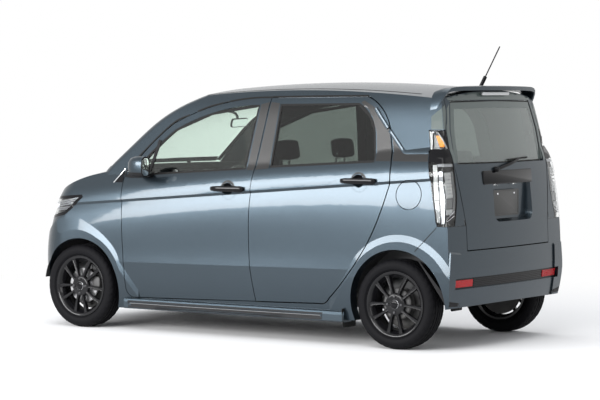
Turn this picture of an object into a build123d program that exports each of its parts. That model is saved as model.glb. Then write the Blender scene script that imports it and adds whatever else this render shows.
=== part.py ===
from build123d import *
import os
from math import cos, radians, sin, tan

# A tall-wagon kei car in millimetres. +X points rearwards, +Y to the car's right and +Z up; the origin
# is on the ground at the middle of the car's length and width.

# Driving dimensions
LENGTH = 3395
WIDTH = 1475
HEIGHT = 1655
WHEELBASE = 2520
FRONT_OVERHANG = 450
TRACK = 1305
TYRE_DIAMETER = 562.5
TYRE_WIDTH = 165
RIM_DIAMETER = 381
BOLT_CIRCLE = 100
SHUT_GAP = 5
REAR_DOOR_GAP = 7.5  # its tall rear edge swings a little rearwards before it clears the body
DOOR_WALL = 60
PILLAR_WALL = 45
ROOF_WALL = 35
GLASS_RECESS = 4
GLASS_THICKNESS = 5

FRONT_AXLE = FRONT_OVERHANG - LENGTH / 2
REAR_AXLE = FRONT_AXLE + WHEELBASE
AXLE_HEIGHT = TYRE_DIAMETER / 2
WHEEL_SIDE = TRACK / 2
NOSE = -LENGTH / 2
TAIL = LENGTH / 2
FRONT_ARCH_RADIUS = 325
REAR_ARCH_RADIUS = 341
REAR_ARCH_X = REAR_AXLE + 12
ROOF_HALF = 540  # the roof panel's half width
REACH = 1000  # a length that passes right through one side of the body
SKIRT_FRONT = -860

FLARE_SIDE = 737
LIP_WIDTH = 40
FLARE_WIDTH = 165
FLARE_FALL = 27
FLARE_PROUD = 9

# The body's outline at several heights. Each row is a waterline: two long side arcs, a nose arc and a
# tail arc, with rounded corners. Rows lean with the belt line by their tilt.
# columns: level at x = 0, tilt, front, rear, half width, nose half, tail half, nose sag, tail sag,
#          nose radius, tail radius
SILL = [
    (155, 0.5, -1655, 1650, 694, 656, 672, 90, 34, 240, 90),
    (300, 0.6, -1686, 1682, 718, 700, 704, 92, 34, 250, 90),
    (472, 0.8, NOSE, TAIL, WIDTH / 2 - 1, 724, 722, 94, 36, 260, 90),
]
LOWER_BODY = [
    SILL[-1],
    (560, 1.6, -1697, 1695, 733, 724, 722, 94, 36, 260, 90),
    (800, 3.5, -1670, 1680, 732, 712, 714, 92, 38, 250, 90),
    (930, 4.5, -1636, 1666, 720, 688, 696, 90, 40, 230, 90),
]
CREASE = [
    LOWER_BODY[-1],
    (948, 4.5, -1629, 1664, 730, 697, 704, 90, 40, 230, 90),
]
SHOULDER = [
    CREASE[-1],
    (1012, 4.5, -1600, 1654, 723, 680, 694, 88, 42, 210, 90),
    (1077, 4.5, -1566, 1640, 703, 648, 670, 86, 44, 190, 90),
]
COWL = [
    SHOULDER[-1],
    (1190, 4.5, -1500, 1600, 640, 596, 600, 84, 46, 140, 90),
]
GREENHOUSE = [
    (1000, 0, -1222, 1662, 716, 654, 668, 78, 50, 90, 80),
    (1080, 0, -1165, 1650, 698, 634, 658, 76, 48, 90, 80),
    (1263, 0, -957, 1620, 656, 596, 628, 74, 46, 90, 80),
    (1420, 0, -752, 1592, 621, 566, 602, 70, 46, 90, 80),
    (1517, 0, -555, 1572, 598, 549, 584, 64, 46, 85, 80),
    (1590, 0, -350, 1554, 568, 522, 558, 56, 44, 75, 75),
    (1680, 0, -60, 1528, 500, 456, 496, 40, 40, 60, 60),
]
# The cabin side of the walls follows a plainer set of the same rows
INNER_LOWER = [SILL[0], LOWER_BODY[1], SHOULDER[-1]]
INNER_GREENHOUSE = [GREENHOUSE[0], GREENHOUSE[2], GREENHOUSE[4], GREENHOUSE[6]]

# Crowned surfaces: a side-view profile turned about a long axis far below the car
HOOD_CROWN = 4500
HOOD_HEIGHT = 1085
ROOF_CROWN = 3000


def waterline(row, inset):
    """One closed body outline, moved inwards by the wall thickness."""
    level, tilt, front, rear, half, nose_half, tail_half, nose_sag, tail_sag, nose_r, tail_r = row
    lean = radians(tilt)
    plane = Plane((0, 0, level), x_dir=(cos(lean), 0, sin(lean)), z_dir=(-sin(lean), 0, cos(lean)))
    nose, tail = front + inset, rear - inset
    nose_corner = (nose + nose_sag, nose_half - inset)
    tail_corner = (tail - tail_sag, tail_half - inset)
    middle = (nose + tail) / 2
    with BuildSketch(plane) as outline:
        with BuildLine():
            ThreePointArc((nose_corner[0], -nose_corner[1]), (nose, 0), nose_corner)
            ThreePointArc(nose_corner, (middle, half - inset), tail_corner)
            ThreePointArc(tail_corner, (tail, 0), (tail_corner[0], -tail_corner[1]))
            ThreePointArc((tail_corner[0], -tail_corner[1]), (middle, inset - half),
                          (nose_corner[0], -nose_corner[1]))
        make_face()
        corners = outline.vertices()
        fillet(corners.group_by(Axis.X)[0], nose_r - inset)
        fillet(corners.group_by(Axis.X)[-1], tail_r - inset)
    return outline.sketch


def crown_plane(crown, height):
    """A plane through the crown's axis, leaning 15 degrees to the right."""
    lean = radians(15)
    return Plane((0, 0, height - crown), x_dir=(1, 0, 0), z_dir=(0, -cos(lean), sin(lean)))


def loft_rows(rows, inset=0):
    """One smooth skin through several waterlines."""
    with BuildPart() as band:
        for row in rows:
            add(waterline(row, inset))
        loft()
    return band.part


def crowned_air(crown, height, profile):
    """The air above a crowned surface: a side-view profile, in real heights, turned about the crown's axis."""
    lift = crown - height
    with BuildPart() as air:
        with BuildSketch(crown_plane(crown, height)):
            with BuildLine():
                for start, middle, end in profile:
                    ThreePointArc((start[0], start[1] + lift), (middle[0], middle[1] + lift),
                                  (end[0], end[1] + lift))
                first, last = profile[0][0], profile[-1][2]
                Polyline((last[0], last[1] + lift), (last[0], 1950 + lift), (first[0], 1950 + lift),
                         (first[0], first[1] + lift))
            make_face()
        revolve(axis=Axis((0, 0, height - crown), (1, 0, 0)), revolution_arc=30)
    return air.part


def lowered(profile, drop):
    return [[(x, z - drop) for x, z in arc] for arc in profile]


HOOD_PROFILE = [
    [(-1740, 700), (-1655, 800), (-1600, 890)],
    [(-1600, 890), (-1400, 1012), (-1170, 1085)],
    [(-1170, 1085), (-1040, 1105), (-900, 1120)],
]
ROOF_PROFILE = [[(-1000, 1535), (230, HEIGHT), (1800, 1578)]]


def body_form(lower_bands, greenhouse_rows, lower_inset, upper_inset, drop):
    """The body as a solid, its walls moved inwards and its hood and roof lowered."""
    with BuildPart() as form:
        for rows in lower_bands:
            add(loft_rows(rows, lower_inset))
        add(crowned_air(HOOD_CROWN, HOOD_HEIGHT, lowered(HOOD_PROFILE, drop)), mode=Mode.SUBTRACT)
        add(loft_rows(greenhouse_rows, upper_inset))
        add(crowned_air(ROOF_CROWN, HEIGHT, lowered(ROOF_PROFILE, drop)), mode=Mode.SUBTRACT)
    return form.part


def left_piece(solid, outline, near=ROOF_HALF + 10, far=REACH):
    """The part of a solid inside a side-view outline, on the car's left only."""
    with BuildPart() as piece:
        add(solid)
        with BuildSketch(Plane.XZ.offset(near)):
            add(outline)
        extrude(amount=far - near, mode=Mode.INTERSECT)
    return piece.part


def carve_left(solid, outline, near=ROOF_HALF, far=REACH):
    """A solid with a side-view outline cut out of the car's left."""
    with BuildPart() as piece:
        add(solid)
        with BuildSketch(Plane.XZ.offset(near)):
            add(outline)
        extrude(amount=far - near, mode=Mode.SUBTRACT)
    return piece.part


def save(part, label):
    """Label one finished piece and write it to its own file."""
    part.label = label
    export_step(part, f"parts/{label}.step")


def both_sides(part, name):
    """Write a left-hand piece and its mirror image."""
    with BuildPart() as right:
        mirror(part, about=Plane.XZ)
    save(part, f"{name}_left")
    save(right.part, f"{name}_right")


os.makedirs("parts", exist_ok=True)

# The body's skins: outer surface, glass surfaces and the cabin's inner surface
outer = body_form([SILL, LOWER_BODY, CREASE, SHOULDER, COWL], GREENHOUSE, 0, 0, 0)
with BuildPart() as flare_limit:
    add(loft_rows(SILL, -FLARE_PROUD))
    add(loft_rows(LOWER_BODY, -FLARE_PROUD))
with BuildPart() as flared:
    add(outer)
    for x, radius in ((FRONT_AXLE + 6, FRONT_ARCH_RADIUS), (REAR_ARCH_X, REAR_ARCH_RADIUS)):
        with BuildPart(mode=Mode.PRIVATE) as flare:
            with BuildSketch(Plane((x, 0, AXLE_HEIGHT), x_dir=(0, 0, 1), z_dir=(1, 0, 0))):
                Polygon((0, 600), (0, FLARE_SIDE), (radius + LIP_WIDTH, FLARE_SIDE),
                        (radius + FLARE_WIDTH, FLARE_SIDE - FLARE_FALL), (radius + FLARE_WIDTH, 600), align=None)
            revolve(axis=Axis((x, 0, AXLE_HEIGHT), (0, 1, 0)))
            mirror(about=Plane.XZ)
            add(flare_limit.part, mode=Mode.INTERSECT)
        add(flare.part)
outer = flared.part
inner = body_form([INNER_LOWER, [SHOULDER[-1], COWL[-1]]], INNER_GREENHOUSE, DOOR_WALL, PILLAR_WALL, ROOF_WALL)
glass_outer = loft_rows(GREENHOUSE, GLASS_RECESS)
glass_inner = loft_rows(GREENHOUSE, GLASS_RECESS + GLASS_THICKNESS)

with BuildPart() as shell:
    add(outer)
    add(inner, mode=Mode.SUBTRACT)
    for x, radius in ((FRONT_AXLE + 6, FRONT_ARCH_RADIUS), (REAR_ARCH_X, REAR_ARCH_RADIUS)):
        with BuildSketch(Plane.XZ.offset(-REACH)):
            with Locations((x, AXLE_HEIGHT)):
                Circle(radius)
        extrude(amount=2 * REACH, mode=Mode.SUBTRACT)
    with BuildSketch(Plane.XZ.offset(-REACH)):
        Polygon((1480, 100), (1480, 235), (1800, 300), (1800, 100), align=None)
        Polygon((-1800, 100), (-1800, 185), (-1500, 170), (-1500, 100), align=None)
    extrude(amount=2 * REACH, mode=Mode.SUBTRACT)

with BuildPart() as glass_skin:
    add(glass_outer)
    add(glass_inner, mode=Mode.SUBTRACT)


def take(solid, region):
    """The part of a solid inside a region."""
    with BuildPart() as piece:
        add(solid)
        add(region, mode=Mode.INTERSECT)
    return piece.part


def leave(solid, *regions):
    """What is left of a solid outside some regions."""
    with BuildPart() as piece:
        add(solid)
        for region in regions:
            add(region, mode=Mode.SUBTRACT)
    return piece.part


# Side-view outlines of the doors
DOOR_TOP_FRONT = (-543, 1384)
DOOR_TOP_MIDDLE = (-234, 1499)
PILLAR_TOP = (240, 1557)
BELT_AT_PILLAR = (188, 1083)
SILL_AT_PILLAR = (206, 250)


def front_door_outline(grow=0):
    with BuildSketch(Plane.XZ) as outline:
        with BuildLine():
            ThreePointArc((-900, 1023), (-730, 1225), DOOR_TOP_FRONT)
            ThreePointArc(DOOR_TOP_FRONT, DOOR_TOP_MIDDLE, PILLAR_TOP)
            Line(PILLAR_TOP, BELT_AT_PILLAR)
            ThreePointArc(BELT_AT_PILLAR, (163, 760), (186, 380))
            Line((186, 380), SILL_AT_PILLAR)
            Line(SILL_AT_PILLAR, (-790, 226))
            ThreePointArc((-790, 226), (-836, 250), (-850, 300))
            ThreePointArc((-850, 300), (-877, 653), (-900, 1023))
        make_face()
        if grow:
            offset(amount=grow)
    return outline.sketch


def rear_door_outline(grow=0):
    gap = SHUT_GAP
    with BuildSketch(Plane.XZ) as outline:
        with BuildLine():
            Line((PILLAR_TOP[0] + gap, 1558), (BELT_AT_PILLAR[0] + gap, BELT_AT_PILLAR[1]))
            ThreePointArc((BELT_AT_PILLAR[0] + gap, BELT_AT_PILLAR[1]), (163 + gap, 760), (186 + gap, 380))
            Line((186 + gap, 380), (SILL_AT_PILLAR[0] + gap, SILL_AT_PILLAR[1]))
            Line((SILL_AT_PILLAR[0] + gap, SILL_AT_PILLAR[1]), (700, 262))
            ThreePointArc((700, 262), (745, 268), (776, 299))
            ThreePointArc((776, 299), (1035, 600), (1227, 1053))
            Line((1227, 1053), (1224, 1152))
            Line((1224, 1152), (1174, 1372))
            ThreePointArc((1174, 1372), (1095, 1500), (985, 1566))
            Line((985, 1566), (PILLAR_TOP[0] + gap, 1558))
        make_face()
        if grow:
            offset(amount=grow)
    return outline.sketch


def belt_height(x):
    return 1077 + x * tan(radians(4.5))


def front_window_outline():
    """The front door's glass, from its belt to 40 mm below the drip line."""
    with BuildSketch(Plane.XZ) as outline:
        with BuildLine():
            ThreePointArc((-846, belt_height(-846) + 22), (-700, 1200), (-520, 1349))
            ThreePointArc((-520, 1349), (-225, 1460), (160, 1514))
            Line((160, 1514), (120, belt_height(120) + 10))
            Line((120, belt_height(120) + 10), (-846, belt_height(-846) + 22))
        make_face()
    return outline.sketch


def rear_window_outline():
    """The rear door's glass."""
    with BuildSketch(Plane.XZ) as outline:
        with BuildLine():
            Line((306, belt_height(306) + 10), (324, 1520))
            Line((324, 1520), (930, 1528))
            ThreePointArc((930, 1528), (1025, 1455), (1076, 1349))
            Line((1076, 1349), (1102, 1158))
            Line((1102, 1158), (306, belt_height(306) + 10))
        make_face()
    return outline.sketch


# Door handles: a bar over a round cup in the door's skin
# columns: x of the cup's centre, height, half width of the car there
HANDLES = {"front_door": (-6, 968, 728), "rear_door": (999, 1040, 718)}
CUP_RADIUS = 44
CUP_DEPTH = 24
HANDLE_LENGTH = 172
HANDLE_HEIGHT = 22
HANDLE_PROUD = 26


def with_handle(door, x, height, skin):
    ball = (CUP_RADIUS ** 2 + CUP_DEPTH ** 2) / (2 * CUP_DEPTH)
    with BuildPart() as handled:
        add(door)
        with Locations((x, CUP_DEPTH - ball - skin, height)):
            Sphere(ball, mode=Mode.SUBTRACT)
        with BuildSketch(Plane.XZ.offset(skin + HANDLE_PROUD - 13)):
            with Locations((x + 4, height + 3)):
                SlotOverall(HANDLE_LENGTH, HANDLE_HEIGHT)
        extrude(amount=13)
        for end in (-1, 1):
            with BuildSketch(Plane.XZ.offset(skin - 20)):
                with Locations((x + 4 + end * (HANDLE_LENGTH / 2 - 16), height + 3)):
                    RectangleRounded(24, 14, 5)
            extrude(amount=20 + HANDLE_PROUD - 6)
    return handled.part


# The front door's inner rear edge is cut back, so that it swings clear of the rear door
PILLAR_RELIEF = 14
with BuildPart() as pillar_relief:
    with BuildSketch(Plane.XZ):
        with BuildLine():
            Line((PILLAR_TOP[0] + 5, 1700), (BELT_AT_PILLAR[0] - PILLAR_RELIEF, BELT_AT_PILLAR[1]))
            ThreePointArc((BELT_AT_PILLAR[0] - PILLAR_RELIEF, BELT_AT_PILLAR[1]), (163 - PILLAR_RELIEF, 760),
                          (186 - PILLAR_RELIEF, 380))
            Polyline((186 - PILLAR_RELIEF, 380), (SILL_AT_PILLAR[0] - PILLAR_RELIEF, 200), (300, 200),
                     (300, 1700), (PILLAR_TOP[0] + 5, 1700))
        make_face()
    extrude(amount=REACH)
    # columns: distance from the car's middle, height
    with BuildSketch(Plane.YZ.offset(100)):
        Polygon((0, 150), (-690, 150), (-700, 400), (-702, 930), (-692, 1050), (-572, 1540), (-560, 1700),
                (0, 1700), align=None)
    extrude(amount=300, mode=Mode.INTERSECT)

# Doors, each as thick as the whole wall, with a glass in a slot in the frame
front_opening = front_door_outline(SHUT_GAP)
rear_opening = rear_door_outline(REAR_DOOR_GAP)
doors = {}
for name, outline, window in (("front_door", front_door_outline, front_window_outline),
                              ("rear_door", rear_door_outline, rear_window_outline)):
    door = carve_left(left_piece(shell.part, outline()), window())
    door = with_handle(door, *HANDLES[name])
    if name == "front_door":
        door = leave(door, pillar_relief.part)
    doors[name] = door
    both_sides(door, name)
    both_sides(left_piece(glass_skin.part, window()), name + "_glass")


def side_region(*points, near=0, far=REACH):
    """A side-view polygon carried through both sides of the car, outside a middle strip."""
    with BuildPart() as region:
        with BuildSketch(Plane.XZ.offset(near)):
            Polygon(*points, align=None)
        extrude(amount=far - near)
        mirror(about=Plane.XZ)
    return region.part


def rear_view_region(half_outline, x_front, x_rear, grow=0):
    """A symmetric outline seen along the car, given by the half-width at each height."""
    with BuildPart() as region:
        with BuildSketch(Plane((x_front, 0, 0), x_dir=(0, 1, 0), z_dir=(1, 0, 0))):
            left = [(-half - grow, height) for half, height in half_outline]
            right = [(half + grow, height) for half, height in reversed(half_outline)]
            Polygon(*left, *right, align=None)
        extrude(amount=x_rear - x_front)
    return region.part


# The hood's sides run parallel, so it swings up between the fenders
HOOD_HALF = 615
HOOD_BOTTOM = 868


def hood_region(grow=0):
    side = HOOD_HALF + grow
    with BuildPart() as region:
        with BuildSketch(Plane.XY.offset(HOOD_BOTTOM - grow)):
            with BuildLine():
                ThreePointArc((-1165 + grow, -side), (-1205 + grow, 0), (-1165 + grow, side))
                Polyline((-1165 + grow, side), (-1720, side), (-1720, -side), (-1165 + grow, -side))
            make_face()
        extrude(amount=400)
    return region.part


# Where each panel lies on the body
COWL_TOP = 1096
COWL_HALF = HOOD_HALF + SHUT_GAP
# columns: half width, height
WINDSHIELD = [(COWL_HALF, COWL_TOP), (508, 1576)]
TAILGATE = [(518, 622), (520, 772), (588, 1150), (588, 1363), (552, 1480), (548, 1500), (548, 1700)]
GATE_FRONT = 1440
# The tailgate's inner edge in side view: under the roof, then close behind the rear face
GATE_DEPTH = [(GATE_FRONT, 1800), (GATE_FRONT, 1560), (1505, 1500), (1536, 1363), (1552, 1150), (1588, 772),
              (1590, 500)]
GATE_GLASS = [(548, 1150), (555, 1175), (548, 1363), (500, 1545)]

windshield_region = rear_view_region(WINDSHIELD, -1300, -150)
roof_region = rear_view_region([(ROOF_HALF, 1480), (ROOF_HALF, 1750)], -1000, GATE_FRONT)


def gate_depth_region(grow=0):
    with BuildPart() as region:
        with BuildSketch(Plane.XZ.offset(-REACH)):
            Polygon(*[(x - grow, height) for x, height in GATE_DEPTH], (1900, 500), (1900, 1800), align=None)
        extrude(amount=2 * REACH)
    return region.part


gate_region = take(rear_view_region(TAILGATE, GATE_FRONT, 1900), gate_depth_region())
with BuildPart() as gate_opening:
    add(rear_view_region(TAILGATE, GATE_FRONT - SHUT_GAP, 1900, SHUT_GAP))
    with Locations((1650, 0, 620)):
        Box(400, 2 * (518 + SHUT_GAP), 2 * SHUT_GAP)
    add(gate_depth_region(SHUT_GAP), mode=Mode.INTERSECT)
gate_opening = gate_opening.part
cowl_region = rear_view_region([(COWL_HALF, 1000), (COWL_HALF, COWL_TOP)], -1215, -1050)
lamp_region = side_region((-1235, 899), (-1548, 873), (-1720, 866), (-1720, 715), (-1626, 722),
                          (-1388, 764), near=470)
grille_region = rear_view_region([(470, 715), (470, 866)], -1720, -1500)
front_bumper_region = side_region((-1800, 100), (-1800, 715), (-1626, 722), (-1388, 764),
                                  (-1478, 560), (-1478, 100))
rear_bumper_region = side_region((1400, 100), (1400, 590), (1422, 613), (1575, 772), (1800, 772),
                                 (1800, 100))
tail_lamp_region = side_region((1452, 1363), (1800, 1363), (1800, 772), (1574, 772), near=480)
fender_region = side_region((-1800, 100), (-1800, 900), (-1500, 990), (-1168, 1060), (-953, 1000),
                            (-903, 1012), (-870, 500), (-856, 300), (-872, 215), (-1000, 210),
                            (-1000, 100), near=300)

body = leave(shell.part, windshield_region)
save(take(glass_skin.part, windshield_region), "windshield")

FUEL_LID = (1367, 963)
FUEL_LID_RADIUS = 88

# The plate recess: sides that lean in and a floor parallel to the plate
with BuildPart() as plate_recess:
    for x, grow in ((1700, 20), (1632, 0)):
        with BuildSketch(Plane((x, 57, 945), x_dir=(0, 1, 0), z_dir=(1, 0, 0))):
            RectangleRounded(470 + 2 * grow, 296 + 2 * grow, 45 + grow)
    loft()
tailgate_wall = leave(take(body, gate_region), plate_recess.part)
gate_window = rear_view_region(GATE_GLASS, 1450, 1800)
PLATE_HOLE_SPACING = 210
PLATE_HOLE_RADIUS = 3
PLATE_HOLE_HEIGHT = 955
with BuildPart() as tailgate:
    add(tailgate_wall)
    add(gate_window, mode=Mode.SUBTRACT)
    with BuildSketch(Plane((1800, 0, PLATE_HOLE_HEIGHT), x_dir=(0, 1, 0), z_dir=(1, 0, 0))):
        with GridLocations(PLATE_HOLE_SPACING, 0, 2, 1):
            Circle(PLATE_HOLE_RADIUS)
    extrude(amount=-180, mode=Mode.SUBTRACT)
save(tailgate.part, "tailgate")
save(take(glass_skin.part, gate_window), "tailgate_glass")
body = leave(body, gate_opening)

save(take(body, hood_region()), "hood")
body = leave(body, hood_region(SHUT_GAP))

# The rear bumper's groove for its dark insert, and the front bumper's lower intake
GROOVE_HEIGHTS = (384, 452)
INTAKE_HEIGHTS = (265, 420)
GROOVE_DEPTH = 14
INTAKE_DEPTH = 40
with BuildPart() as groove:
    with BuildSketch(Plane.YZ.offset(TAIL - 75)):
        with Locations((0, sum(GROOVE_HEIGHTS) / 2)):
            Rectangle(2 * 660, GROOVE_HEIGHTS[1] - GROOVE_HEIGHTS[0])
    extrude(amount=200)
    add(loft_rows(SILL, GROOVE_DEPTH), mode=Mode.SUBTRACT)
with BuildPart() as intake:
    with BuildSketch(Plane.YZ.offset(NOSE - 50)):
        with Locations((0, sum(INTAKE_HEIGHTS) / 2)):
            Trapezoid(980, INTAKE_HEIGHTS[1] - INTAKE_HEIGHTS[0], 75)
    extrude(amount=200)
    add(loft_rows(SILL, INTAKE_DEPTH), mode=Mode.SUBTRACT)
bumper_cuts = {"rear_bumper": groove.part, "front_bumper": intake.part}

for label, region in (("cowl_panel", cowl_region), ("roof_panel", roof_region),
                      ("headlamps", lamp_region), ("front_grille", grille_region),
                      ("front_bumper", front_bumper_region), ("tail_lamps", tail_lamp_region),
                      ("rear_bumper", rear_bumper_region)):
    piece = take(body, region)
    if label in bumper_cuts:
        piece = leave(piece, bumper_cuts[label])
    save(piece, label)
    body = leave(body, region)

with BuildPart() as door_openings:
    for outline in (front_opening, rear_opening):
        with BuildSketch(Plane.XZ.offset(ROOF_HALF)):
            add(outline)
        extrude(amount=400)
    mirror(about=Plane.XZ)
body = leave(body, door_openings.part)
save(take(body, fender_region), "front_fenders")
body = leave(body, fender_region)

with BuildPart() as left_half:
    with Locations((0, -REACH / 2, 1000)):
        Box(4 * REACH, REACH, 2000)
side_frame = take(body, left_half.part)

# The side skirt below the doors, with a long groove for its dark insert
# columns: distance from the car's middle, height
SKIRT = [(640, 150), (728, 150), (735, 158), (735, 196), (729, 214), (716, 220), (640, 220)]
SKIRT_GROOVE = [(729, 170), (760, 166), (760, 194), (729, 190)]
SKIRT_REAR = 900
with BuildPart() as skirt:
    with BuildSketch(Plane.YZ.offset(SKIRT_FRONT)):
        Polygon(*[(-side, height) for side, height in SKIRT], align=None)
    extrude(amount=SKIRT_REAR - SKIRT_FRONT)
    with BuildSketch(Plane.YZ.offset(SKIRT_FRONT + 60)):
        Polygon(*[(-side, height) for side, height in SKIRT_GROOVE], align=None)
    extrude(amount=724 - SKIRT_FRONT - 60, mode=Mode.SUBTRACT)
    with BuildSketch(Plane.XZ.offset(600)):
        with Locations((REAR_ARCH_X, AXLE_HEIGHT)):
            Circle(REAR_ARCH_RADIUS)
    extrude(amount=200, mode=Mode.SUBTRACT)
    add(inner, mode=Mode.SUBTRACT)
with BuildPart() as skirted:
    add(side_frame)
    add(skirt.part)
side_frame = skirted.part

# The round fuel lid, a thin cap over a pocket in the left rear quarter
POCKET_DEPTH = 45


LID_INNER_SIDE = 697


def lid_bar(radius, inner_side):
    with BuildPart() as bar:
        with BuildSketch(Plane.XZ.offset(inner_side)):
            with Locations(FUEL_LID):
                Circle(radius)
        extrude(amount=400)
    return bar.part


save(take(outer, lid_bar(FUEL_LID_RADIUS, LID_INNER_SIDE)), "fuel_lid")
pocket = lid_bar(FUEL_LID_RADIUS + SHUT_GAP, LID_INNER_SIDE - POCKET_DEPTH + 20)
save(leave(side_frame, pocket), "side_frame_left")
with BuildPart() as right_frame:
    mirror(side_frame, about=Plane.XZ)
save(right_frame.part, "side_frame_right")


# Floor, firewall, wheel houses and front rails, one welded pressing inside the body's walls
FLOOR_HEIGHT = 190
FLOOR_THICKNESS = 25
REAR_FLOOR_HEIGHT = 340
HOUSE_THICKNESS = 12
FRONT_HOUSE_RADIUS = 335
REAR_HOUSE_RADIUS = 348
FRONT_HOUSE_INNER = 400
REAR_HOUSE_INNER = 545
STRUT_TOWER = (FRONT_AXLE, -520)
STRUT_TOWER_RADIUS = 92
STRUT_TOWER_TOP = 800
WHEEL_HOUSES = (
    (FRONT_AXLE + 6, FRONT_HOUSE_RADIUS, FRONT_HOUSE_INNER),
    (REAR_ARCH_X, REAR_HOUSE_RADIUS, REAR_HOUSE_INNER),
)
RAIL_CENTRE = 360
with BuildPart() as floor_pan:
    with BuildSketch(Plane.XZ.offset(-700)):
        with BuildLine():
            path = Polyline((-1075, 960), (-1075, 470), (-960, FLOOR_HEIGHT), (560, FLOOR_HEIGHT),
                            (760, REAR_FLOOR_HEIGHT), (1640, REAR_FLOOR_HEIGHT))
            offset(path, amount=FLOOR_THICKNESS / 2, side=Side.BOTH)
        make_face()
    extrude(amount=1400)
    for x, radius, inner_side in WHEEL_HOUSES:
        for side in (-1, 1):
            with BuildSketch(Plane.XZ.offset(side * 700)):
                with Locations((x, AXLE_HEIGHT)):
                    Circle(radius + HOUSE_THICKNESS)
            extrude(amount=-side * (700 - inner_side + HOUSE_THICKNESS))
    with BuildSketch(Plane.XY.offset(500)):
        with Locations((STRUT_TOWER[0], STRUT_TOWER[1]), (STRUT_TOWER[0], -STRUT_TOWER[1])):
            Circle(STRUT_TOWER_RADIUS + HOUSE_THICKNESS)
    extrude(amount=STRUT_TOWER_TOP + HOUSE_THICKNESS - 500)
    for side in (-1, 1):
        with Locations((-1330, side * RAIL_CENTRE, 430)):
            Box(530, 60, 90)
    Box(4000, 2000, 2 * FLOOR_HEIGHT - FLOOR_THICKNESS, mode=Mode.SUBTRACT)
    with Locations((1320, 0, 0)):
        Box(900, 2000, 2 * REAR_FLOOR_HEIGHT - FLOOR_THICKNESS, mode=Mode.SUBTRACT)
    add(inner, mode=Mode.INTERSECT)
    for x, radius, inner_side in WHEEL_HOUSES:
        for side in (-1, 1):
            with BuildSketch(Plane.XZ.offset(side * 701)):
                with Locations((x, AXLE_HEIGHT)):
                    Circle(radius)
            extrude(amount=-side * (701 - inner_side), mode=Mode.SUBTRACT)
    with BuildSketch(Plane.XY.offset(400)):
        with Locations((STRUT_TOWER[0], STRUT_TOWER[1]), (STRUT_TOWER[0], -STRUT_TOWER[1])):
            Circle(STRUT_TOWER_RADIUS)
    extrude(amount=STRUT_TOWER_TOP - 400, mode=Mode.SUBTRACT)
save(floor_pan.part, "floor_pan")

# Engine and gearbox as one block, resting on the subframe
ENGINE_BOTTOM = 235
with BuildPart() as engine:
    with BuildSketch(Plane.XY.offset(ENGINE_BOTTOM)):
        with Locations((-1330, 0)):
            RectangleRounded(430, 600, 40)
    extrude(amount=590)
save(engine.part, "engine")

# Front subframe with lower arms; each arm ends in a ball joint under its knuckle
BALL_JOINT = (640, 190)
ARM_THICKNESS = 16
with BuildPart() as front_subframe:
    with Locations((FRONT_AXLE + 70, 0, ENGINE_BOTTOM - 25)):
        Box(260, 560, 50)
    for side in (-1, 1):
        with BuildSketch(Plane.XY.offset(BALL_JOINT[1] - 32 - ARM_THICKNESS / 2)):
            Polygon((FRONT_AXLE - 22, side * 640), (FRONT_AXLE + 22, side * 640), (FRONT_AXLE + 45, side * 500),
                    (FRONT_AXLE + 200, side * 275), (FRONT_AXLE - 40, side * 275),
                    (FRONT_AXLE - 45, side * 500), align=None)
        extrude(amount=ARM_THICKNESS)
        with Locations((FRONT_AXLE + 70, side * 268, 180)):
            Box(240, 24, 50)
save(front_subframe.part, "front_subframe")

# Steering knuckle with its strut and the wheel spindle
STRUT_TOP = STRUT_TOWER_TOP - 7
SPINDLE_RADIUS = 20
HUB_FACE = 697
with BuildPart() as knuckle_left:
    with BuildSketch(Plane.XZ.offset(598)):
        with BuildLine():
            Polyline((FRONT_AXLE - 30, 180), (FRONT_AXLE + 30, 180), (FRONT_AXLE + 48, AXLE_HEIGHT),
                     (FRONT_AXLE + 30, 392), (FRONT_AXLE - 30, 392), (FRONT_AXLE - 48, AXLE_HEIGHT),
                     (FRONT_AXLE - 30, 180))
        make_face()
    extrude(amount=52)
    with BuildSketch(Plane.XZ.offset(600)):
        with Locations((FRONT_AXLE, AXLE_HEIGHT)):
            Circle(SPINDLE_RADIUS)
    extrude(amount=HUB_FACE - 5 - 600)
    with Locations((FRONT_AXLE, -565, 400)):
        Box(50, 118, 60)
    with BuildSketch(Plane.XY.offset(375)):
        with Locations((FRONT_AXLE, -514)):
            Circle(24)
    extrude(amount=STRUT_TOP - 375)
    with BuildSketch(Plane.XY.offset(600)):
        with Locations((FRONT_AXLE, -514)):
            Circle(54)
    extrude(amount=170)
both_sides(knuckle_left.part, "knuckle")

# Rear torsion beam: cross beam, trailing arms, springs, dampers and stub spindles
with BuildPart() as rear_axle:
    with BuildSketch(Plane.XZ.offset(-500)):
        with Locations((REAR_AXLE - 190, 262)):
            RectangleRounded(90, 62, 18)
    extrude(amount=1000)
    for side in (-1, 1):
        with BuildSketch(Plane.XZ.offset(side * 455)):
            with BuildLine():
                Polyline((REAR_AXLE - 430, 285), (REAR_AXLE - 430, 235), (REAR_AXLE - 100, 225),
                         (REAR_AXLE + 60, 240), (REAR_AXLE + 60, 320), (REAR_AXLE - 100, 300),
                         (REAR_AXLE - 430, 285))
            make_face()
        extrude(amount=side * 60)
        # columns: radius, start, thickness
        for radius, start, thickness in ((36, 510, 42), (62, 552, 58)):
            with BuildSketch(Plane.XZ.offset(side * start)):
                with Locations((REAR_AXLE, AXLE_HEIGHT)):
                    Circle(radius)
            extrude(amount=side * thickness)
        with BuildSketch(Plane.XZ.offset(side * 600)):
            with Locations((REAR_AXLE, AXLE_HEIGHT)):
                Circle(SPINDLE_RADIUS)
        extrude(amount=side * (HUB_FACE - 5 - 600))
        with BuildSketch(Plane.XY.offset(300)):
            with Locations((REAR_AXLE + 20, side * 485)):
                Circle(30)
        extrude(amount=REAR_FLOOR_HEIGHT - FLOOR_THICKNESS / 2 - 300)
save(rear_axle.part, "rear_axle")

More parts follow.
